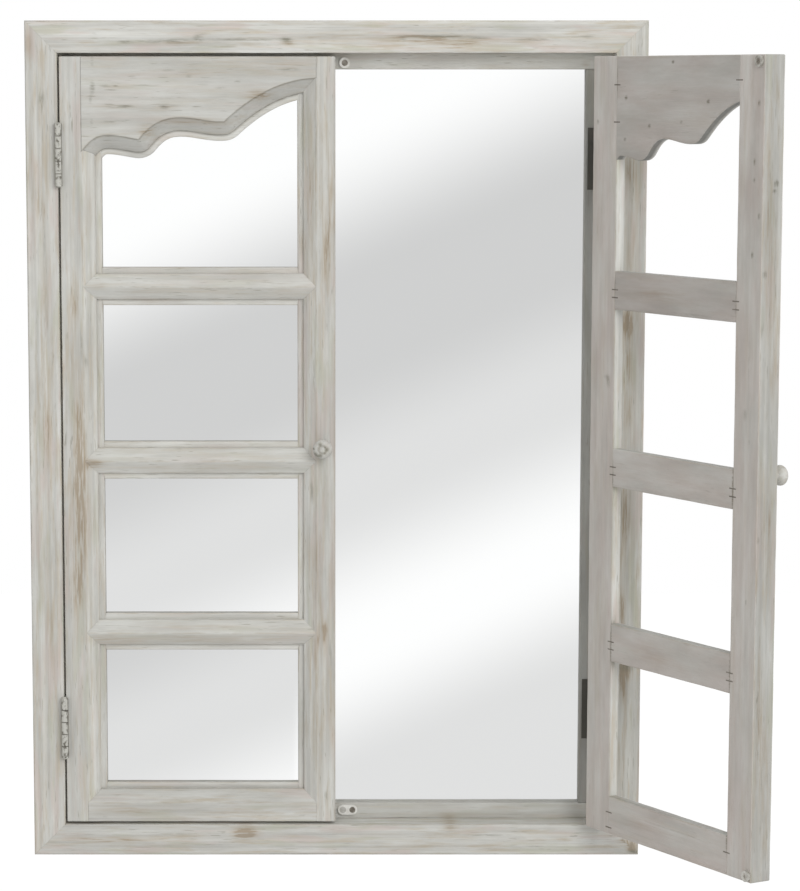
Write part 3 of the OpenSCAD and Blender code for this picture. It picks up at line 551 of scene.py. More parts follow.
def closed_skin(name, rings, caps, place, grain, reads, worn=None, flat_ends=True):
    """A closed piece over rings, a grid of points with a row for each ring: quads join
    each ring to the next, and a fan closes each end at its point in caps. place turns
    points into mm on the mirror, and grain gives a point's place in the wood. reads holds
    what else the wood reads: values that spread over the grid, and the value at the caps.
    The function for wear and painted shade gives their marks at placed points, where reads
    doesn't."""
    rows, columns = rings.shape[:2]
    local = np.vstack([rings.reshape(-1, 3), caps])
    i = np.arange(rows - 1)[:, None] * columns
    j = np.arange(columns)
    jn = (j + 1) % columns
    quads = np.stack([i + j, i + jn, i + columns + jn, i + columns + j], -1).reshape(-1, 4)
    low = np.stack([np.full(columns, rows * columns), jn, j], 1)
    top = (rows - 1) * columns
    high = np.stack([np.full(columns, rows * columns + 1), top + j, top + jn], 1)
    placed = place(local)
    mesh = bpy.data.meshes.new(name)
    faces = quads.tolist() + low.tolist() + high.tolist()
    mesh.from_pydata((placed / 1000).tolist(), [], faces)
    smooth = np.ones(len(faces), bool)
    if flat_ends:
        smooth[len(quads):] = False
    mesh.polygons.foreach_set("use_smooth", smooth)
    layer = mesh.attributes.new("grain", "FLOAT_VECTOR", "POINT").data
    layer.foreach_set("vector", grain(local).astype(np.float32).ravel())
    values = {
        label: np.append(np.broadcast_to(spread, (rows, columns)), [at_caps] * 2)
        for label, (spread, at_caps) in reads.items()
    }
    if worn:
        values["worn"], values["dash"] = worn(placed)
    for label, each in values.items():
        layer = mesh.attributes.new(label, "FLOAT", "POINT").data
        layer.foreach_set("value", each.astype(np.float32))
    work = bmesh.new()
    work.from_mesh(mesh)
    bmesh.ops.recalc_face_normals(work, faces=work.faces)
    work.to_mesh(mesh)
    work.free()
    piece = bpy.data.objects.new(name, mesh)
    bpy.context.scene.collection.objects.link(piece)
    return piece


# How much of the wash the back got.
back_show = 0.35


def swept_board(name, outline, starts, ends, place, seed, jointed=True, chamfer=0.06,
                step=3.0, tone=1.0, worn=front_worn):
    """The outline carried along a board. starts and ends give, for each point of the
    outline, where the board begins and stops, so a mitre or a cope is one formula.
    Ridges are rubbed back by a slow wave of up to rub_by mm, and each end is drawn in by
    its chamfer. place turns (along, across, depth) into mm on the mirror. tone is a
    number or one for each point of the outline."""
    rub_by, rub_reach, chamfer_reach, end_reach, wave_group = 0.3, 1.1, 0.9, 7.0, 6
    section, normals, ridge, hollow = outline
    starts = np.broadcast_to(np.asarray(starts, float), len(section))
    ends = np.broadcast_to(np.asarray(ends, float), len(section))
    length = float((ends - starts).mean())
    near = np.array([0, 0.35, 0.9, 2.5, end_reach])
    inner = np.linspace(end_reach, length - end_reach, int(length / step))[1:-1]
    stations = np.concatenate([near, inner, length - near[::-1]])
    shrink = sum(
        chamfer * np.clip(1 - end / chamfer_reach, 0, 1) ** 2
        for end in (stations, length - stations)
    )
    rng = np.random.default_rng(seed)
    phase = rng.uniform(0, 2 * math.pi, (3, len(section) // wave_group + 1))
    column = np.arange(len(section)) // wave_group
    waves = sum(
        np.sin(stations[:, None] / size + phase[i][column][None])
        for i, size in enumerate((5.3, 14.0, 37.0))
    ) / 3
    rub = rub_by * (0.5 + 0.5 * waves) * np.exp(-((ridge / rub_reach) ** 2))[None]
    sunk = shrink[:, None] + rub
    across = section[None, :, 0] - normals[None, :, 0] * sunk
    depth = section[None, :, 1] - normals[None, :, 1] * sunk
    along = starts[None] + (ends - starts)[None] * (stations / length)[:, None]
    rings = np.stack([along, across, depth], -1)
    to_end = np.full(len(stations), far_off)
    if jointed:
        to_end = np.minimum(np.minimum(to_end, stations), length - stations)
    offset = rng.uniform(-4000, 4000, 3)
    on_back = section[:, 1] > section[:, 1].max() - 0.3
    return closed_skin(
        name, rings, [rings[0].mean(0), rings[-1].mean(0)], place, lambda p: p + offset,
        {
            "ridge": (ridge, far_off), "hollow": (hollow, far_off),
            "joint": (to_end[:, None], 0.0),
            "show": (np.where(on_back, back_show, 1.0), 1.0), "tone": (tone, 1.0),
        },
        worn,
    )


def laid(origin, along, across):
    """Where a board lies: origin is its first corner at the front in mm, along and across
    are the ways of its length and its width, and its depth runs back."""
    ways = np.array([along, across, (0, 1, 0)], float)
    return lambda p: p @ ways + origin


def fit(piece, wood, node, body):
    """Gives a wooden piece its finish, and puts it in its CAD node's place."""
    piece.data.materials.append(wood)
    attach(piece, body)
    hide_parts(node)


left, right, up, down = (-1, 0, 0), (1, 0, 0), (0, 0, 1), (0, 0, -1)
frame_x, frame_low = frame_w / 2, frame_top_z - frame_h
frame_back = frame_d - 0.1
frame_outline = rounded_outline([
    (0, 0, 1.3), (frame_face, 0, 0.6), (frame_face, frame_back, 1.0), (0, frame_back, 1.2),
])
wood_frame = washed_wood("washed_frame_wood", 1.1, 0.3, 0.6)
frame_boards = {}
mitre = frame_outline[0][:, 0]
inside = (mitre > frame_face - 0.2) & (frame_outline[0][:, 1] > 1.0)
# The inner faces are painted lighter, the top and left ones most, as painted light where they lie
# in shade.
for name, length, x, z, along, across, seed, front_tone, inside_painted_light in (
    ("top", frame_w, -frame_x, frame_top_z, right, down, 11, 1.05, 1.45),
    ("bottom", frame_w, -frame_x, frame_low, right, up, 12, 0.97, 1.05),
    ("left", frame_h, -frame_x, frame_low, up, right, 13, 1.03, 1.5),
    ("right", frame_h, frame_x, frame_low, up, left, 14, 1.0, 1.0),
):
    piece = swept_board(
        f"frame_{name}_board", frame_outline, mitre, length - mitre,
        laid((x, -frame_d, z), along, across), seed, chamfer=0.03,
        tone=np.where(inside, inside_painted_light, front_tone),
    )
    fit(piece, wood_frame, "frame_" + name, "frame")
    frame_boards[name] = piece

# The pockets behind the keyholes, cut into the top board: middle x, lowest and highest
# corner from there, in mm.
pocket_x, pocket_low, pocket_high = 210, (-5.5, -8.5, -5.5), (5.5, 1.0, 9.7)
cube = np.array([[x, y, z] for x in (0, 1) for y in (0, 1) for z in (0, 1)])
box = pocket_low + cube * (np.array(pocket_high) - pocket_low)
box_faces = np.array([
    (0, 1, 3, 2), (4, 6, 7, 5), (0, 4, 5, 1), (2, 3, 7, 6), (0, 2, 6, 4), (1, 5, 7, 3),
])
pocket_mesh = bpy.data.meshes.new("pockets")
pocket_mesh.from_pydata(
    (np.vstack([box + (side * pocket_x, 0, 0) for side in (-1, 1)]) / 1000).tolist(), [],
    np.vstack([box_faces, box_faces + len(box)]).tolist(),
)
pockets = bpy.data.objects.new("pockets", pocket_mesh)
bpy.context.scene.collection.objects.link(pockets)
top_board = frame_boards["top"]
cut = top_board.modifiers.new("pockets", "BOOLEAN")
cut.operation = "DIFFERENCE"
cut.solver = "EXACT"
cut.object = pockets
bpy.context.view_layer.update()
cut_board = top_board.evaluated_get(bpy.context.evaluated_depsgraph_get())
cut_mesh = bpy.data.meshes.new_from_object(cut_board)
top_board.modifiers.clear()
top_board.data = cut_mesh
bpy.data.objects.remove(pockets)

# ---------------------------------------------------------------------------------------
# Stops. Four thin strips of the same wood are glued inside the frame, in front of the
# mirror. The doors close against the catches on them.
# ---------------------------------------------------------------------------------------
stop_t, stop_side, stop_end, stop_y = 9.0, 27.0, 15.5, -17.0
inner_x, inner_top, inner_low = 269.0, -15.0, -773.0
wood_stop = washed_wood("washed_stop_wood", 0.5, 0.5, 0.35)
side_stop = (stop_side, stop_end, inner_top - inner_low - stop_end)
end_stop = (stop_end, 0, 2 * inner_x)
# The strips' tones are painted shade: the side strips darker, the right one most, where the doors
# shadow them, and the bottom one a little.
for name, (width, start, stop), x, z, along, across, seed, tone in (
    ("left", side_stop, -inner_x, inner_low, up, right, 21, 0.7),
    ("right", side_stop, inner_x, inner_low, up, left, 22, 0.62),
    ("top", end_stop, -inner_x, inner_top, right, down, 23, 1.0),
    ("bottom", end_stop, -inner_x, inner_low, right, up, 24, 0.92),
):
    outline = rounded_outline([
        (0, 0, 0.2), (width, 0, 0.9), (width, stop_t, 0.4), (0, stop_t, 0.2),
    ])
    place = laid((x, stop_y, z), along, across)
    strip = swept_board(f"stop_{name}_strip", outline, start, stop, place, seed, tone=tone)
    fit(strip, wood_stop, "stop_" + name, "frame")

# ---------------------------------------------------------------------------------------
# Mirror and back. The silvered pane lies against the stops. A hardboard sheet covers its
# back, held by bent metal tabs, and two zinc plates with keyholes hang the whole thing.
# ---------------------------------------------------------------------------------------


def dress(material, *nodes):
    """Gives CAD nodes their material."""
    for node in nodes:
        mesh = frame["nodes"][node].data
        mesh.materials.clear()
        mesh.materials.append(material)


# A trace of haze on the glass, as where it has been wiped.
silver, tree, shader = new_material("silvered_glass", {
    "Base Color": (0.965, 0.972, 0.97, 1), "Metallic": 1.0, "Roughness": 0.0,
})
haze = stretched_noise(tree, object_place(tree), (7, 7, 7), 3, 0.6)
tree.links.new(ramp_node(tree, haze, [(0.35, 0.015), (0.7, 0.035)]), shader.inputs["Roughness"])
dress(silver, "mirror_glass")

hardboard, tree, shader = new_material("hardboard", {
    "Base Color": (*srgb(140, 112, 82), 1), "Metallic": 0.0, "Roughness": 0.75,
})
fibres = stretched_noise(tree, object_place(tree), (420, 420, 420), 5, 0.7)
blotch = stretched_noise(tree, object_place(tree), (9, 9, 9), 3, 0.5)
mottled = ramp_node(tree, fibres, [(0.3, srgb(118, 92, 66)), (0.7, srgb(156, 128, 96))])
blotched = ramp_node(tree, blotch, [(0.4, 0.0), (0.7, 0.35)])
colour = blend_colour(tree, blotched, mottled, srgb(128, 100, 72))
tree.links.new(colour, shader.inputs["Base Color"])
add_bump(tree, shader, fibres, 0.3, 0.0003)
dress(hardboard, "backing_board")

metal_group, given, made = new_group(
    "handled_metal",
    {
        "Vector": {"Place": None},
        "Color": {"Dull": (0.3, 0.3, 0.3, 1), "Clean": (0.6, 0.6, 0.6, 1)},
        "Float": {"Base Roughness": 0.35},
    },
)
tree = metal_group
stain = stretched_noise(tree, given["Place"], (160, 160, 160), 5, 0.65)
grime = stretched_noise(tree, given["Place"], (45, 45, 45), 3, 0.5, (3, 1, 4))
stained = math_node(tree, "MULTIPLY_ADD", grime, 0.5, times(tree, stain, 0.5))
stained = ramp_node(tree, stained, [(0.40, 0.0), (0.62, 1.0)])
put_out(
    tree, made, blend_colour(tree, stained, given["Clean"], given["Dull"]),
    math_node(tree, "MULTIPLY_ADD", stained, 0.2, given["Base Roughness"]), stain,
)


def handled_metal(name, clean, dull, roughness, metallic=1.0, bump=0.25):
    """Metal with stains and a little grain, in its own two colours."""
    material, tree, shader = new_material(name, {
        "Base Color": (*clean, 1), "Metallic": metallic, "Roughness": roughness,
    })
    given = {
        "Clean": (*clean, 1), "Dull": (*dull, 1), "Base Roughness": roughness,
        "Place": object_place(tree),
    }
    coat(tree, shader, metal_group, given, bump, 0.0001)
    return material


zinc = handled_metal("zinc_plate", srgb(190, 190, 186), srgb(140, 136, 128), 0.35)
dress(zinc, "board_tabs", "hanger_left", "hanger_right", "hanger_screws", "frame_staples")

# ---------------------------------------------------------------------------------------
# Doors. Each has two moulded stiles the full height, three ridged bars, a bottom rail and
# a scalloped top rail between them, coped over the stiles and stapled from behind.
# ---------------------------------------------------------------------------------------
door_w, door_h, door_t, door_low, door_edge = 266.1, 752.0, 22.5, -770.2, 267.1
door_back = door_t - 0.05
bevel_w, bevel_t, step_w, step_t = 12.5, 8.5, 6.0, 12.0
bar_half = bevel_w + step_w
hinge_flat, free_flat, bottom_flat = 21.0, 18.5, 19.0
bar_zs = {"lower_bar": 189.5, "middle_bar": 360.0, "upper_bar": 530.5}
right_hinge = next(joint for joint in frame["joints"] if joint["child"] == "right_door")
pin = np.array(right_hinge["pos_m"][:2]) * 1000
open_turn = -math.radians(right_hinge["range_deg"][0])


def hang_left(door):
    """Door space (from the hinge edge, from the front, from the bottom edge) to mm on the
    mirror, for the closed left door."""
    return door + (-door_edge, -frame_d, door_low)


def hang_right(door):
    """The same for the right door: mirrored, then turned about its hinge pins."""
    x = door_edge - door[:, 0] - pin[0]
    y = door[:, 1] - frame_d - pin[1]
    c, s = math.cos(open_turn), math.sin(open_turn)
    return np.stack([pin[0] + x * c - y * s, pin[1] + x * s + y * c, door_low + door[:, 2]], 1)


def moulded(flat):
    """Section of a stile or bottom rail from its outer edge: a flat, a bevel down to the
    lip beside the pane, and a step back to the full thickness."""
    ridge, lip = flat + bevel_w, flat + bar_half
    return rounded_outline([
        (0, 0, 0.7), (flat, 0, 1.3), (ridge, bevel_t, 0.8), (ridge, step_t, 0.4),
        (lip, step_t, 1.0), (lip, door_back, 0.9), (0, door_back, 1.1),
    ])


def cope(depth, flat):
    """How far a stile reaches at a given depth: flat at the front, out along the bevel,
    straight down to the step, then the full width behind it."""
    ridge, lip = flat + bevel_w, flat + bar_half
    depths = [0, bevel_t, step_t - 0.4, step_t, door_t]
    return np.interp(depth, depths, [flat, ridge, ridge, lip, lip])


hinge_outline, free_outline, bottom_outline = (
    moulded(flat) for flat in (hinge_flat, free_flat, bottom_flat)
)
bar_outline = rounded_outline([
    (0, 0, 1.8), (bevel_w, bevel_t, 0.8), (bevel_w, step_t, 0.4), (bar_half, step_t, 1.0),
    (bar_half, door_back, 0.9), (-bar_half, door_back, 0.9), (-bar_half, step_t, 1.0),
    (-bevel_w, step_t, 0.4), (-bevel_w, bevel_t, 0.8),
])


def scallop_edge(places):
    """The top rail's lower edge: three Bezier stretches, with a turn on the spot at the
    two cusps between them. places runs over 0-1, 2-3 and 4-5 on the stretches and 1-2
    and 3-4 in the turns. Returns the distance along the rail, the depth below the door's
    top and the heading."""
    control = np.array([
        [[-0.06, 109.3], [0.048, 68.5], [0.067, 70.8], [0.241, 77.7]],
        [[0.241, 77.7], [0.363, 42.7], [0.501, 62.8], [0.605, 60.8]],
        [[0.605, 60.8], [0.685, 44.2], [0.842, 15.1], [1.062, 19.6]],
    ]) * [door_w - hinge_flat - free_flat, 1] + [hinge_flat, 0]
    stretch = np.clip(places // 2, 0, 2).astype(int)
    u = np.clip(places - 2 * stretch, 0, 1)[:, None]
    a, b, c, d = control[stretch].transpose(1, 0, 2)
    at = (1 - u) ** 3 * a + 3 * (1 - u) ** 2 * u * b + 3 * (1 - u) * u**2 * c + u**3 * d
    slope = (1 - u) ** 2 * (b - a) + 2 * (1 - u) * u * (c - b) + u**2 * (d - c)
    heading = np.arctan2(slope[:, 1], slope[:, 0])
    for k in (0, 1):
        turning = (places > 2 * k + 1) & (places < 2 * k + 2)
        before = control[k, 3] - control[k, 2]
        after = control[k + 1, 1] - control[k + 1, 0]
        before, after = (math.atan2(way[1], way[0]) for way in (before, after))
        at[turning] = control[k, 3]
        heading[turning] = before + (after - before) * (places[turning] - 2 * k - 1)
    return at[:, 0], at[:, 1], heading


def scalloped_rail(name, place, seed, worn):
    """The top rail as a grid: rings run round its section, from one end to the other.
    Below, each of a ring's points is the edge moved out at right angles by its own
    distance, at its own depth. Each line of them stops where the stiles' section cuts it."""
    # The moulded edge: distance out from the edge and depth, rounded as the bars.
    moulding = np.array([
        (0.9, 0.0), (1.3, 0.1), (1.5, 0.35), (1.62, 0.9), (1.9, 1.05), (2.6, 1.45), (6, 3.75),
        (10, 6.45), (13.2, 8.55), (13.75, 9.0), (14, 9.5), (14.05, 11.4), (14.15, 11.8),
        (14.5, 12.0), (17, 12.0), (19.2, 12.1), (19.8, 12.5), (20, 13.1), (20, 17),
        (20, door_back - 1), (19.8, door_back - 0.4), (19.3, door_back - 0.08),
    ])
    # The rounded top edge, from the back to the front: depth, drop and tone. The tone is painted
    # light on the top, which lies in shade under the frame.
    top_edge = np.array([
        (door_back, 1.2, 0.8), (door_back - 0.4, 0.35, 0.9), (door_back - 1.2, 0, 1.6),
        (17.0, 0, 1.6), (12.2, 0, 1.6), (11.6, 0, 1.6), (8.4, 0, 1.6), (4.0, 0, 1.6),
        (1.2, 0, 1.1), (0.4, 0.35, 1.0), (0.0, 1.2, 1.0),
    ])
    top_ridge = [0.3, 0, 0.4, 5, 10, 10, 8, 4, 0.4, 0, 0.3]
    overlap, top_drop = 0.4, 1.2
    dense = np.linspace(0, 5, 1501)
    base_x, base_drop, heading = scallop_edge(dense)

    def reach(depth):
        """Where the rail's ends lie at a depth."""
        return cope(depth, hinge_flat) - overlap, door_w - cope(depth, free_flat) + overlap

    def edge_line(out, depth):
        """One line of the moulding, out from the edge, with its points spread evenly."""
        x = base_x - out * np.sin(heading)
        drop = base_drop + out * np.cos(heading)
        low, high = reach(depth)
        first, last = dense <= 1, dense >= 4
        begin = np.interp(low, x[first], dense[first])
        stop = np.interp(high, x[last], dense[last])
        spots = np.concatenate([
            np.linspace(begin, 1, 40), np.linspace(1, 2, 7)[1:], np.linspace(2, 3, 50)[1:],
            np.linspace(3, 4, 7)[1:], np.linspace(4, stop, 70)[1:],
        ])
        return np.interp(spots, dense, x), np.interp(spots, dense, drop), depth

    edge = [edge_line(out, depth) for out, depth in moulding]
    (front_x, front_drop, _), (back_x, back_drop, _) = edge[0], edge[-1]
    rise = np.concatenate([[0.985], np.linspace(0.96, 0.04, 56), [0.015]])
    front = [(front_x, top_drop + (front_drop - top_drop) * k, 0.0) for k in rise[::-1]]
    back = [(back_x, top_drop + (back_drop - top_drop) * k, door_back) for k in rise]
    share = (front_x - front_x[0]) / (front_x[-1] - front_x[0])
    top = []
    for depth, fall, _ in top_edge:
        low, high = reach(depth)
        top.append((low + (high - low) * share, np.full(len(share), fall), depth))
    lines = front + edge + back + top
    x = np.array([line[0] for line in lines]).T
    drop = np.array([line[1] for line in lines]).T
    depth = np.broadcast_to([line[2] for line in lines], x.shape)
    rings = np.stack([x, depth, door_h - drop], -1)
    # How far each line lies from the nearest ridge and hollow, in mm.
    out, deep = moulding.T
    edge_ridge = np.interp(
        out + deep, [0, 1.5, 9, 22.7, 26, 31.5, 36, 42], [0.8, 0, 6, 0, 3, 0, 6, 0]
    )
    edge_hollow = np.interp(out + deep, [0, 2.2, 12, 24, 26.2, 28, 42], [2.2, 0, 8, 2, 0, 2, 12])
    face_h = 60
    from_top = rise * face_h
    to_ridge = np.minimum(from_top, face_h - from_top)
    ridge = np.concatenate([to_ridge[::-1], edge_ridge, to_ridge, top_ridge])
    front_hollow = np.maximum(face_h - from_top[::-1], 1.0) + 1.5
    hollow = np.concatenate([front_hollow, edge_hollow, np.full(len(back + top), far_off)])
    to_end = np.minimum(x - x[0][None], x[-1][None] - x) + overlap
    offset = np.random.default_rng(seed).uniform(-4000, 4000, 3)
    # The bevel was left dark with glaze, and the lip below it is painted lighter, as painted
    # light in its recess. The back is painted darker, and the cut edge below the moulding much
    # darker, as painted shade.
    tone = np.where(out > 14.3, 1.1, 1.0)
    tone = np.where((out > 1.6) & (out < 14.3) & (deep < 11.9), 0.84, tone)
    tone = np.where(deep > door_back - 0.5, 0.8, tone)
    tone = np.where((out > 19.9) & (deep > 15), 0.42, tone)
    tone = np.concatenate([
        np.full(len(front), 0.97), tone, np.full(len(back), 0.8), top_edge[:, 2]
    ])
    return closed_skin(
        name, rings, [rings[0].mean(0), rings[-1].mean(0)], place,
        lambda p: p[:, [0, 2, 1]] + offset,
        {
            "ridge": (ridge, far_off), "hollow": (hollow, far_off), "joint": (to_end, 0.0),
            "show": (np.where(depth > door_back - 0.3, back_show, 1.0), 1.0),
            "tone": (tone, 1.0),
        },
        worn,
    )


# Marks on the open door: distance from its hinge edge, going on round its free edge from
# the back to the front, height above its foot, and the rest as on the front.
door_marks = np.array([
    (105, 530, 46, 6, 0.5), (70, 545, 14, 5, 0.3), (120, 186, 52, 9, 0.35),
    (150, 360, 40, 6, 0.25), (90, 20, 60, 7, 0.3), (277, 110, 9, 70, 0.5), (279, 325, 7, 40, 0.7),
    (277, 560, 9, 80, 0.5), (272, 640, 3, 50, 0.4), (271, 180, 2.5, 60, 0.5),
    (283, 470, 4, 30, 0.4), (160, 700, 30, 7, 0.25), (20, 470, 6, 40, 0.3), (20, 200, 6, 60, 0.25),
])
# Open joints, nail heads and knots on its back and its free edge, in the same form.
door_dashes = np.array([
    (39.5, 189, 0.9, 20, 1.2), (39.5, 352, 0.9, 12, 0.8), (39.5, 534, 0.9, 12, 0.6),
    (39.5, 728, 0.9, 16, 0.7), (229.1, 360, 0.9, 18, 1.1), (229.1, 528, 0.9, 12, 0.5),
    (229.1, 188, 0.9, 16, 0.7), (229.1, 33, 0.9, 8, 1), (128, 746, 1.6, 1.2, 1.3),
    (54, 713, 1.8, 1.5, 1.5), (8, 690, 1.4, 1.8, 1.2), (92, 687, 1.8, 1.4, 1.3),
    (142, 691, 1.6, 1.2, 1), (53, 674, 1.8, 1.3, 1.1), (183, 710, 1.9, 1.5, 1.5),
    (258, 709, 1.4, 2, 1.3), (253, 657, 1.3, 2.2, 1.2), (253, 641, 1.3, 1.8, 1),
    (261, 609, 1.3, 2, 1.1), (252, 574, 1.3, 2.2, 1.2), (253, 406, 1.2, 2, 0.6),
    (252, 259, 1.2, 2, 0.7), (30, 442, 2.4, 4.5, 0.8), (27, 447, 4, 2, 0.5),
    (245, 430, 3.5, 4.5, 0.5), (281, 638, 2, 2.2, 1.5), (279, 631, 1.8, 1.4, 1.2),
    (270, 557, 2.2, 2.6, 0.9), (268, 317, 1.2, 3, 0.6), (150, 25, 60, 1, 0.4),
    (90, 345, 40, 1, 0.3), (160, 515, 30, 1, 0.4), (250, 480, 1, 40, 0.35),
])


def door_worn(placed):
    """The marks on the open door, found by turning it shut."""
    x, y = placed[:, 0] - pin[0], placed[:, 1] - pin[1]
    c, s = math.cos(open_turn), math.sin(open_turn)
    along = door_edge - pin[0] - x * c - y * s
    depth = y * c - x * s + frame_d + pin[1]
    up = placed[:, 2] - door_low
    on_edge, on_back = along > door_w - 0.5, depth > 17
    along = along + (door_t - depth) * on_edge
    dashes = worn_at(along, up, door_dashes) * (on_back | on_edge)
    return worn_at(along, up, door_marks), dashes


def part_tone(outline, flat, front=1.0, edge=1.5, back=0.93, bevel=1.0, inner=0.76):
    """Tone round a section: the flat, the bevel, the lip, the outer edge, the inner edge
    beside the pane and the back. Past the flat's own tone these are painted light and shade:
    a lighter bevel and lip, and a lighter outer edge by default, as painted light where they
    lie in shade; a darker back as painted shade; and inner edges darker on the shut door and
    lighter on the open one."""
    across, depth = outline[0].T
    from_middle, lip_painted_light = np.abs(across), 1.06
    tone = np.where((from_middle > flat + 0.5) & (depth > 0.4), bevel * front, front)
    lip = (from_middle > flat + bevel_w + 0.2) & (depth > step_t - 0.5)
    tone = np.where(lip, lip_painted_light * front, tone)
    tone = np.where((across < 0.4) & (depth > 1.2) & (flat > 0), edge, tone)
    beside_pane = (depth > step_t + 1.5) & (depth < door_t - 1.0)
    tone = np.where((from_middle > flat + bar_half - 0.3) & beside_pane, inner, tone)
    return np.where(depth > door_t - 0.8, back, tone)


def between_stiles(name, outline, low, hang, seed, **looks):
    """A bar or bottom rail at a height above the door's foot, coped over both stiles."""
    depth = outline[0][:, 1]
    return swept_board(
        name, outline, cope(depth, hinge_flat), door_w - cope(depth, free_flat),
        lambda p: hang(laid((0, 0, low), right, up)(p)), seed, **looks
    )


def stile(name, outline, x, across, hang, seed, **looks):
    """A stile, whose outer edge lies at x on the door."""
    return swept_board(
        name, outline, 0, door_h, lambda p: hang(laid((x, 0, 0), up, across)(p)), seed,
        jointed=False, chamfer=0.8, step=2.4, **looks
    )


wood_door = washed_wood("washed_door_wood", 0.95, 0.25, 0.6)
wood_rail = washed_wood("washed_rail_wood", 0.45, 1.3, 0.5)
wood_bar = washed_wood("washed_bar_wood", 0.5, 0.5, 0.6)
staple_steel = handled_metal(
    "staple_steel", srgb(134, 128, 119), srgb(104, 97, 88), 0.6, metallic=0.2
)
# The inner edges beside the panes are painted darker on the shut door, as painted shade, and
# lighter on the open one, as painted light.
for side, hang, seed, worn, inner in (
    ("left", hang_left, 40, front_worn, 0.76), ("right", hang_right, 60, door_worn, 1.15),
):
    hinge_tone = part_tone(hinge_outline, hinge_flat, bevel=1.06, inner=inner)
    free_tone = part_tone(free_outline, free_flat, 0.97, edge=0.78, bevel=1.08)
    bottom_tone = part_tone(bottom_outline, bottom_flat, 0.96, back=0.9)
    boards = [
        (wood_door, "hinge_stile", stile(
            side + "_hinge_stile_board", hinge_outline, 0, right, hang, seed,
            tone=hinge_tone, worn=worn,
        )),
        (wood_door, "free_stile", stile(
            side + "_free_stile_board", free_outline, door_w, left, hang, seed + 1,
            tone=free_tone, worn=worn,
        )),
        (wood_door, "bottom_rail", between_stiles(
            side + "_bottom_rail_board", bottom_outline, 0, hang, seed + 2,
            tone=bottom_tone, worn=worn,
        )),
        (wood_rail, "top_rail", scalloped_rail(
            side + "_top_rail_board", hang, seed + 3, worn
        )),
    ]
    # The bars' backs are painted darker, the upper bar's most, as painted shade.
    for n, (bar, z) in enumerate(bar_zs.items()):
        boards.append((wood_bar, bar, between_stiles(
            f"{side}_{bar}_board", bar_outline, z, hang, seed + 4 + n,
            tone=part_tone(bar_outline, 0, 1.05, back=(0.9, 0.88, 0.8)[n]), worn=worn,
        )))
    for wood, part, piece in boards:
        fit(piece, wood, f"{side}_{part}", side + "_door")
        # The panes are clean up to their edges: the shut door isn't mirrored.
        piece.visible_glossy = side == "right"
    dress(staple_steel, side + "_staples")

# ---------------------------------------------------------------------------------------
# Knobs. Small turned mushrooms of wood, washed like the doors, with a ring cut in the
# head. A tenon behind the foot is glued into the free stile.
# ---------------------------------------------------------------------------------------
knob_in, knob_z = 12.5, 373.5
# Profile of a knob in mm: radius, and height above the stile's face.
knob_run = np.array([
    (0.0, 18.4), (1.5, 18.35), (2.8, 18.1), (3.3, 17.7), (3.8, 17.6), (4.4, 17.75),
    (5.9, 17.1), (7.4, 16.15), (8.55, 14.95), (9.2, 13.75), (9.5, 12.4), (9.35, 10.9),
    (8.75, 9.4), (7.8, 8.2), (6.6, 7.2), (5.4, 6.3), (4.6, 5.3), (4.3, 4.3), (4.5, 3.3),
    (5.2, 2.3), (6.1, 1.75), (6.45, 1.2), (6.5, 0.6), (6.3, 0.08), (4.05, 0.02),
    (4.0, -0.3), (4.0, -11.6), (3.6, -12.0), (0.0, -12.0),
])
# Pits where the paint has chipped off: radius, angle from the right and size.
knob_chips = (
    (5.6, 115, 1.5), (4.4, 3, 1.9), (3.4, 40, 1.0), (9.0, 217, 2.4), (6.4, 250, 1.8),
    (7.6, 236, 1.3), (4.1, 300, 0.9), (8.6, 175, 1.0),
)
knob_count, knob_fine = 56, 6


def turned_knob(name, place):
    """The profile turned about its axis. It is smoothed by sampling it along its length,
    and the two poles are closed by fans."""
    step = np.append(0, np.cumsum(np.linalg.norm(np.diff(knob_run, axis=0), axis=1)))
    turns = len(knob_run) - 1
    at = np.interp(np.linspace(0, turns, turns * knob_fine + 1), np.arange(turns + 1), step)
    r, h = (np.interp(at, step, knob_run[:, i]) for i in (0, 1))
    kernel = np.array([1, 2, 3, 2, 1]) / 9
    r[2:-2], h[2:-2] = np.convolve(r, kernel, "valid"), np.convolve(h, kernel, "valid")
    poles = [(0, 0, h[0]), (0, 0, h[-1])]
    r, h = r[1:-1, None], h[1:-1, None]
    a = np.linspace(0, 2 * math.pi, knob_count, endpoint=False)[None]
    x, y = r * np.cos(a), r * np.sin(a)
    # The glaze lies in the ring cut in the head and at the foot, and the rim is rubbed.
    ring_r, foot_h, rim_h, elsewhere = 3.7, 0.2, 12.4, 9.0
    in_ring = np.abs(r - ring_r) * 1.2 + (h < 15) * elsewhere
    at_foot = np.abs(h - foot_h) + 0.3
    at_rim = np.abs(h - rim_h) + (r < 8) * elsewhere
    chips = np.zeros(x.shape)
    for far, turn, size in knob_chips:
        turn = math.radians(turn)
        to_pit = np.hypot(x - far * math.cos(turn), y - far * math.sin(turn)) / size
        chips = np.maximum(chips, np.exp(-0.8 * to_pit**2) * (h > 8) * 1.4)
    return closed_skin(
        name, np.stack([x, y, np.broadcast_to(h, x.shape)], -1), poles, place,
        lambda p: p[:, [2, 0, 1]] * 3 + 77,
        {
            "ridge": (at_rim, elsewhere), "hollow": (np.minimum(in_ring, at_foot), elsewhere),
            "joint": (far_off, far_off),
            "worn": (0.0, 0.0), "dash": (chips, 0.0),
            "show": (1.0, 1.0), "tone": (1.0, 1.0),
        },
        flat_ends=False,
    )


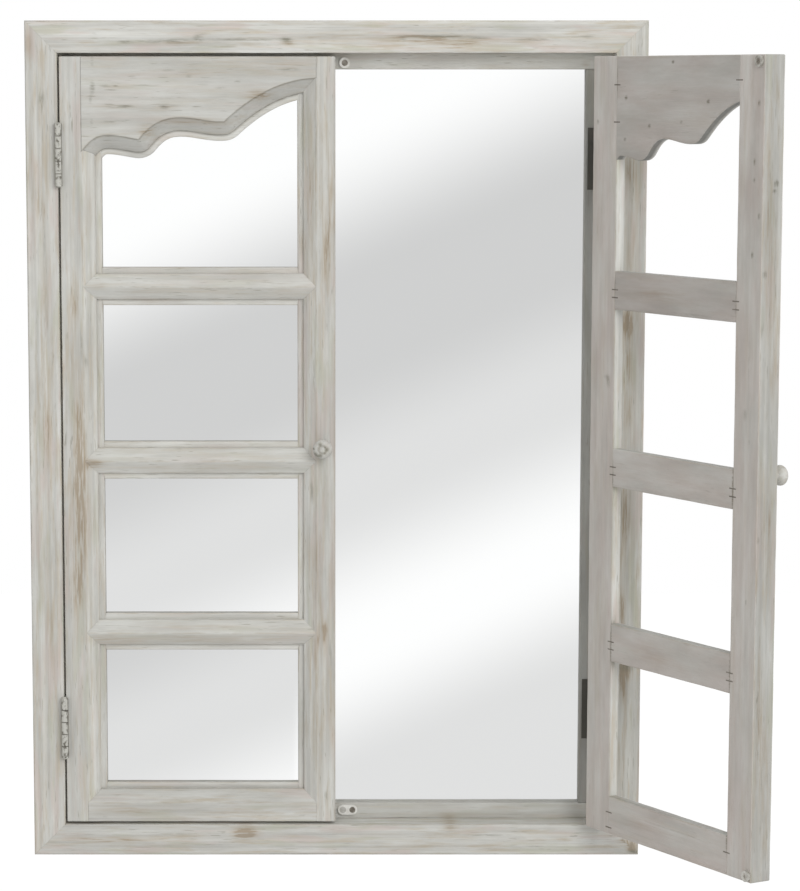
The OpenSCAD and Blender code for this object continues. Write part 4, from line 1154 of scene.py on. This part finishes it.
wood_knob = washed_wood("washed_knob_wood", 0.5, 1.4, 0.7)
for side, hang in (("left", hang_left), ("right", hang_right)):
    on_door = laid((door_w - knob_in, 0, knob_z), right, up)
    knob = turned_knob(
        side + "_knob_turned", lambda p, hang=hang: hang(on_door(p * (1, 1, -1)))
    )
    fit(knob, wood_knob, side + "_knob", side + "_door")
    knob.visible_glossy = side == "right"

# ---------------------------------------------------------------------------------------
# Hinges. Rolled steel butt hinges, two on each door. Their leaves are bare and dark, the
# barrels were brushed over with the wash, which stops short of the breaks between the
# knuckles, and their curved sides are left dark steel as painted shade.
# ---------------------------------------------------------------------------------------
# Heights of the hinges' middles below the wall screws, and of the breaks between the
# five knuckles from there, in metres.
hinge_zs = {"left": (0.1122, 0.6747), "right": (0.1167, 0.6617)}
knuckle_breaks = (0.00603, 0.01809)


def size_of(tree, value):
    """The value without its sign."""
    return math_node(tree, "ABSOLUTE", value)


for side, zs in hinge_zs.items():
    hinge_steel = handled_metal(
        side + "_hinge_steel", srgb(138, 135, 126), srgb(92, 88, 78), 0.5, metallic=0.6
    )
    tree = hinge_steel.node_tree
    shader = tree.nodes["Principled BSDF"]
    x, y, z = split_place(tree)
    aside = math_node(tree, "ADD", size_of(tree, x), -float(abs(pin[0])) / 1000)
    proud = math_node(tree, "ADD", y, -float(pin[1]) / 1000)
    squares = [math_node(tree, "POWER", side_on, 2.0) for side_on in (aside, proud)]
    radius = math_node(tree, "SQRT", math_node(tree, "ADD", *squares))
    on_barrel = band_of(tree, radius, 0.0042, 0.0037)
    # The wash lies on the front of the barrel and stops short of the breaks; its curved sides
    # are left dark steel, as painted shade where the barrel turns away from the light.
    lit_front = band_of(tree, size_of(tree, aside), 0.0036, 0.0026)
    from_middle = math_node(
        tree, "MINIMUM",
        *(size_of(tree, math_node(tree, "ADD", z, hinge_z)) for hinge_z in zs),
    )
    from_break = math_node(
        tree, "MINIMUM",
        *(size_of(tree, math_node(tree, "SUBTRACT", from_middle, b)) for b in knuckle_breaks),
    )
    clear_of_break = band_of(tree, from_break, 0.0001, 0.0008)
    blobs = stretched_noise(tree, object_place(tree), (330, 330, 220), 4, 0.6, (8, 2, 5))
    blobs = band_of(tree, blobs, 0.38, 0.50)
    wash_on_lit_front = times(tree, on_barrel, clear_of_break, lit_front, blobs)
    steel = shader.inputs["Base Color"].links[0].from_socket
    bare = blend_colour(tree, on_barrel, srgb(88, 86, 80), steel)
    colour = blend_colour(tree, wash_on_lit_front, bare, srgb(191, 190, 182))
    tree.links.new(colour, shader.inputs["Base Color"])
    metallic = math_node(tree, "MULTIPLY_ADD", wash_on_lit_front, -0.6, 0.6)
    tree.links.new(metallic, shader.inputs["Metallic"])
    dress(hinge_steel, side + "_frame_leaves", side + "_door_leaves", side + "_hinge_pins")
screw_steel = handled_metal("screw_steel", srgb(176, 172, 164), srgb(112, 104, 92), 0.38)
dress(screw_steel, "frame_leaf_screws", "left_leaf_screws", "right_leaf_screws")

# ---------------------------------------------------------------------------------------
# Catches. Pale plated discs with a countersunk screw, on the stops above and on the
# doors, and two oval plates with a magnet on the stop below.
# ---------------------------------------------------------------------------------------
# The catch plates are painted lighter than their plating, as painted light where they sit in
# shade, and the strikes on the doors' backs darker, as painted shade.
for name, clean, dull, roughness, metallic, bump, nodes in (
    ("catch_plate", (240, 239, 235), (208, 206, 199), 0.3, 0.15, 0.12,
     ("top_catches", "bottom_catches")),
    ("strike_plate", (196, 194, 187), (138, 134, 124), 0.35, 0.5, 0.12,
     ("left_strikes", "right_strikes")),
    ("magnet_nickel", (206, 205, 200), (176, 173, 166), 0.35, 0.4, 0.25, ("catch_magnets",)),
):
    metal = handled_metal(name, srgb(*clean), srgb(*dull), roughness, metallic, bump)
    dress(metal, *nodes)
dress(screw_steel, "catch_screws", "left_strike_screws", "right_strike_screws")
# The fittings on the shut door aren't mirrored either.
for fitting in ("staples", "strikes", "strike_screws", "door_leaves", "leaf_screws"):
    frame["nodes"]["left_" + fitting].visible_glossy = False
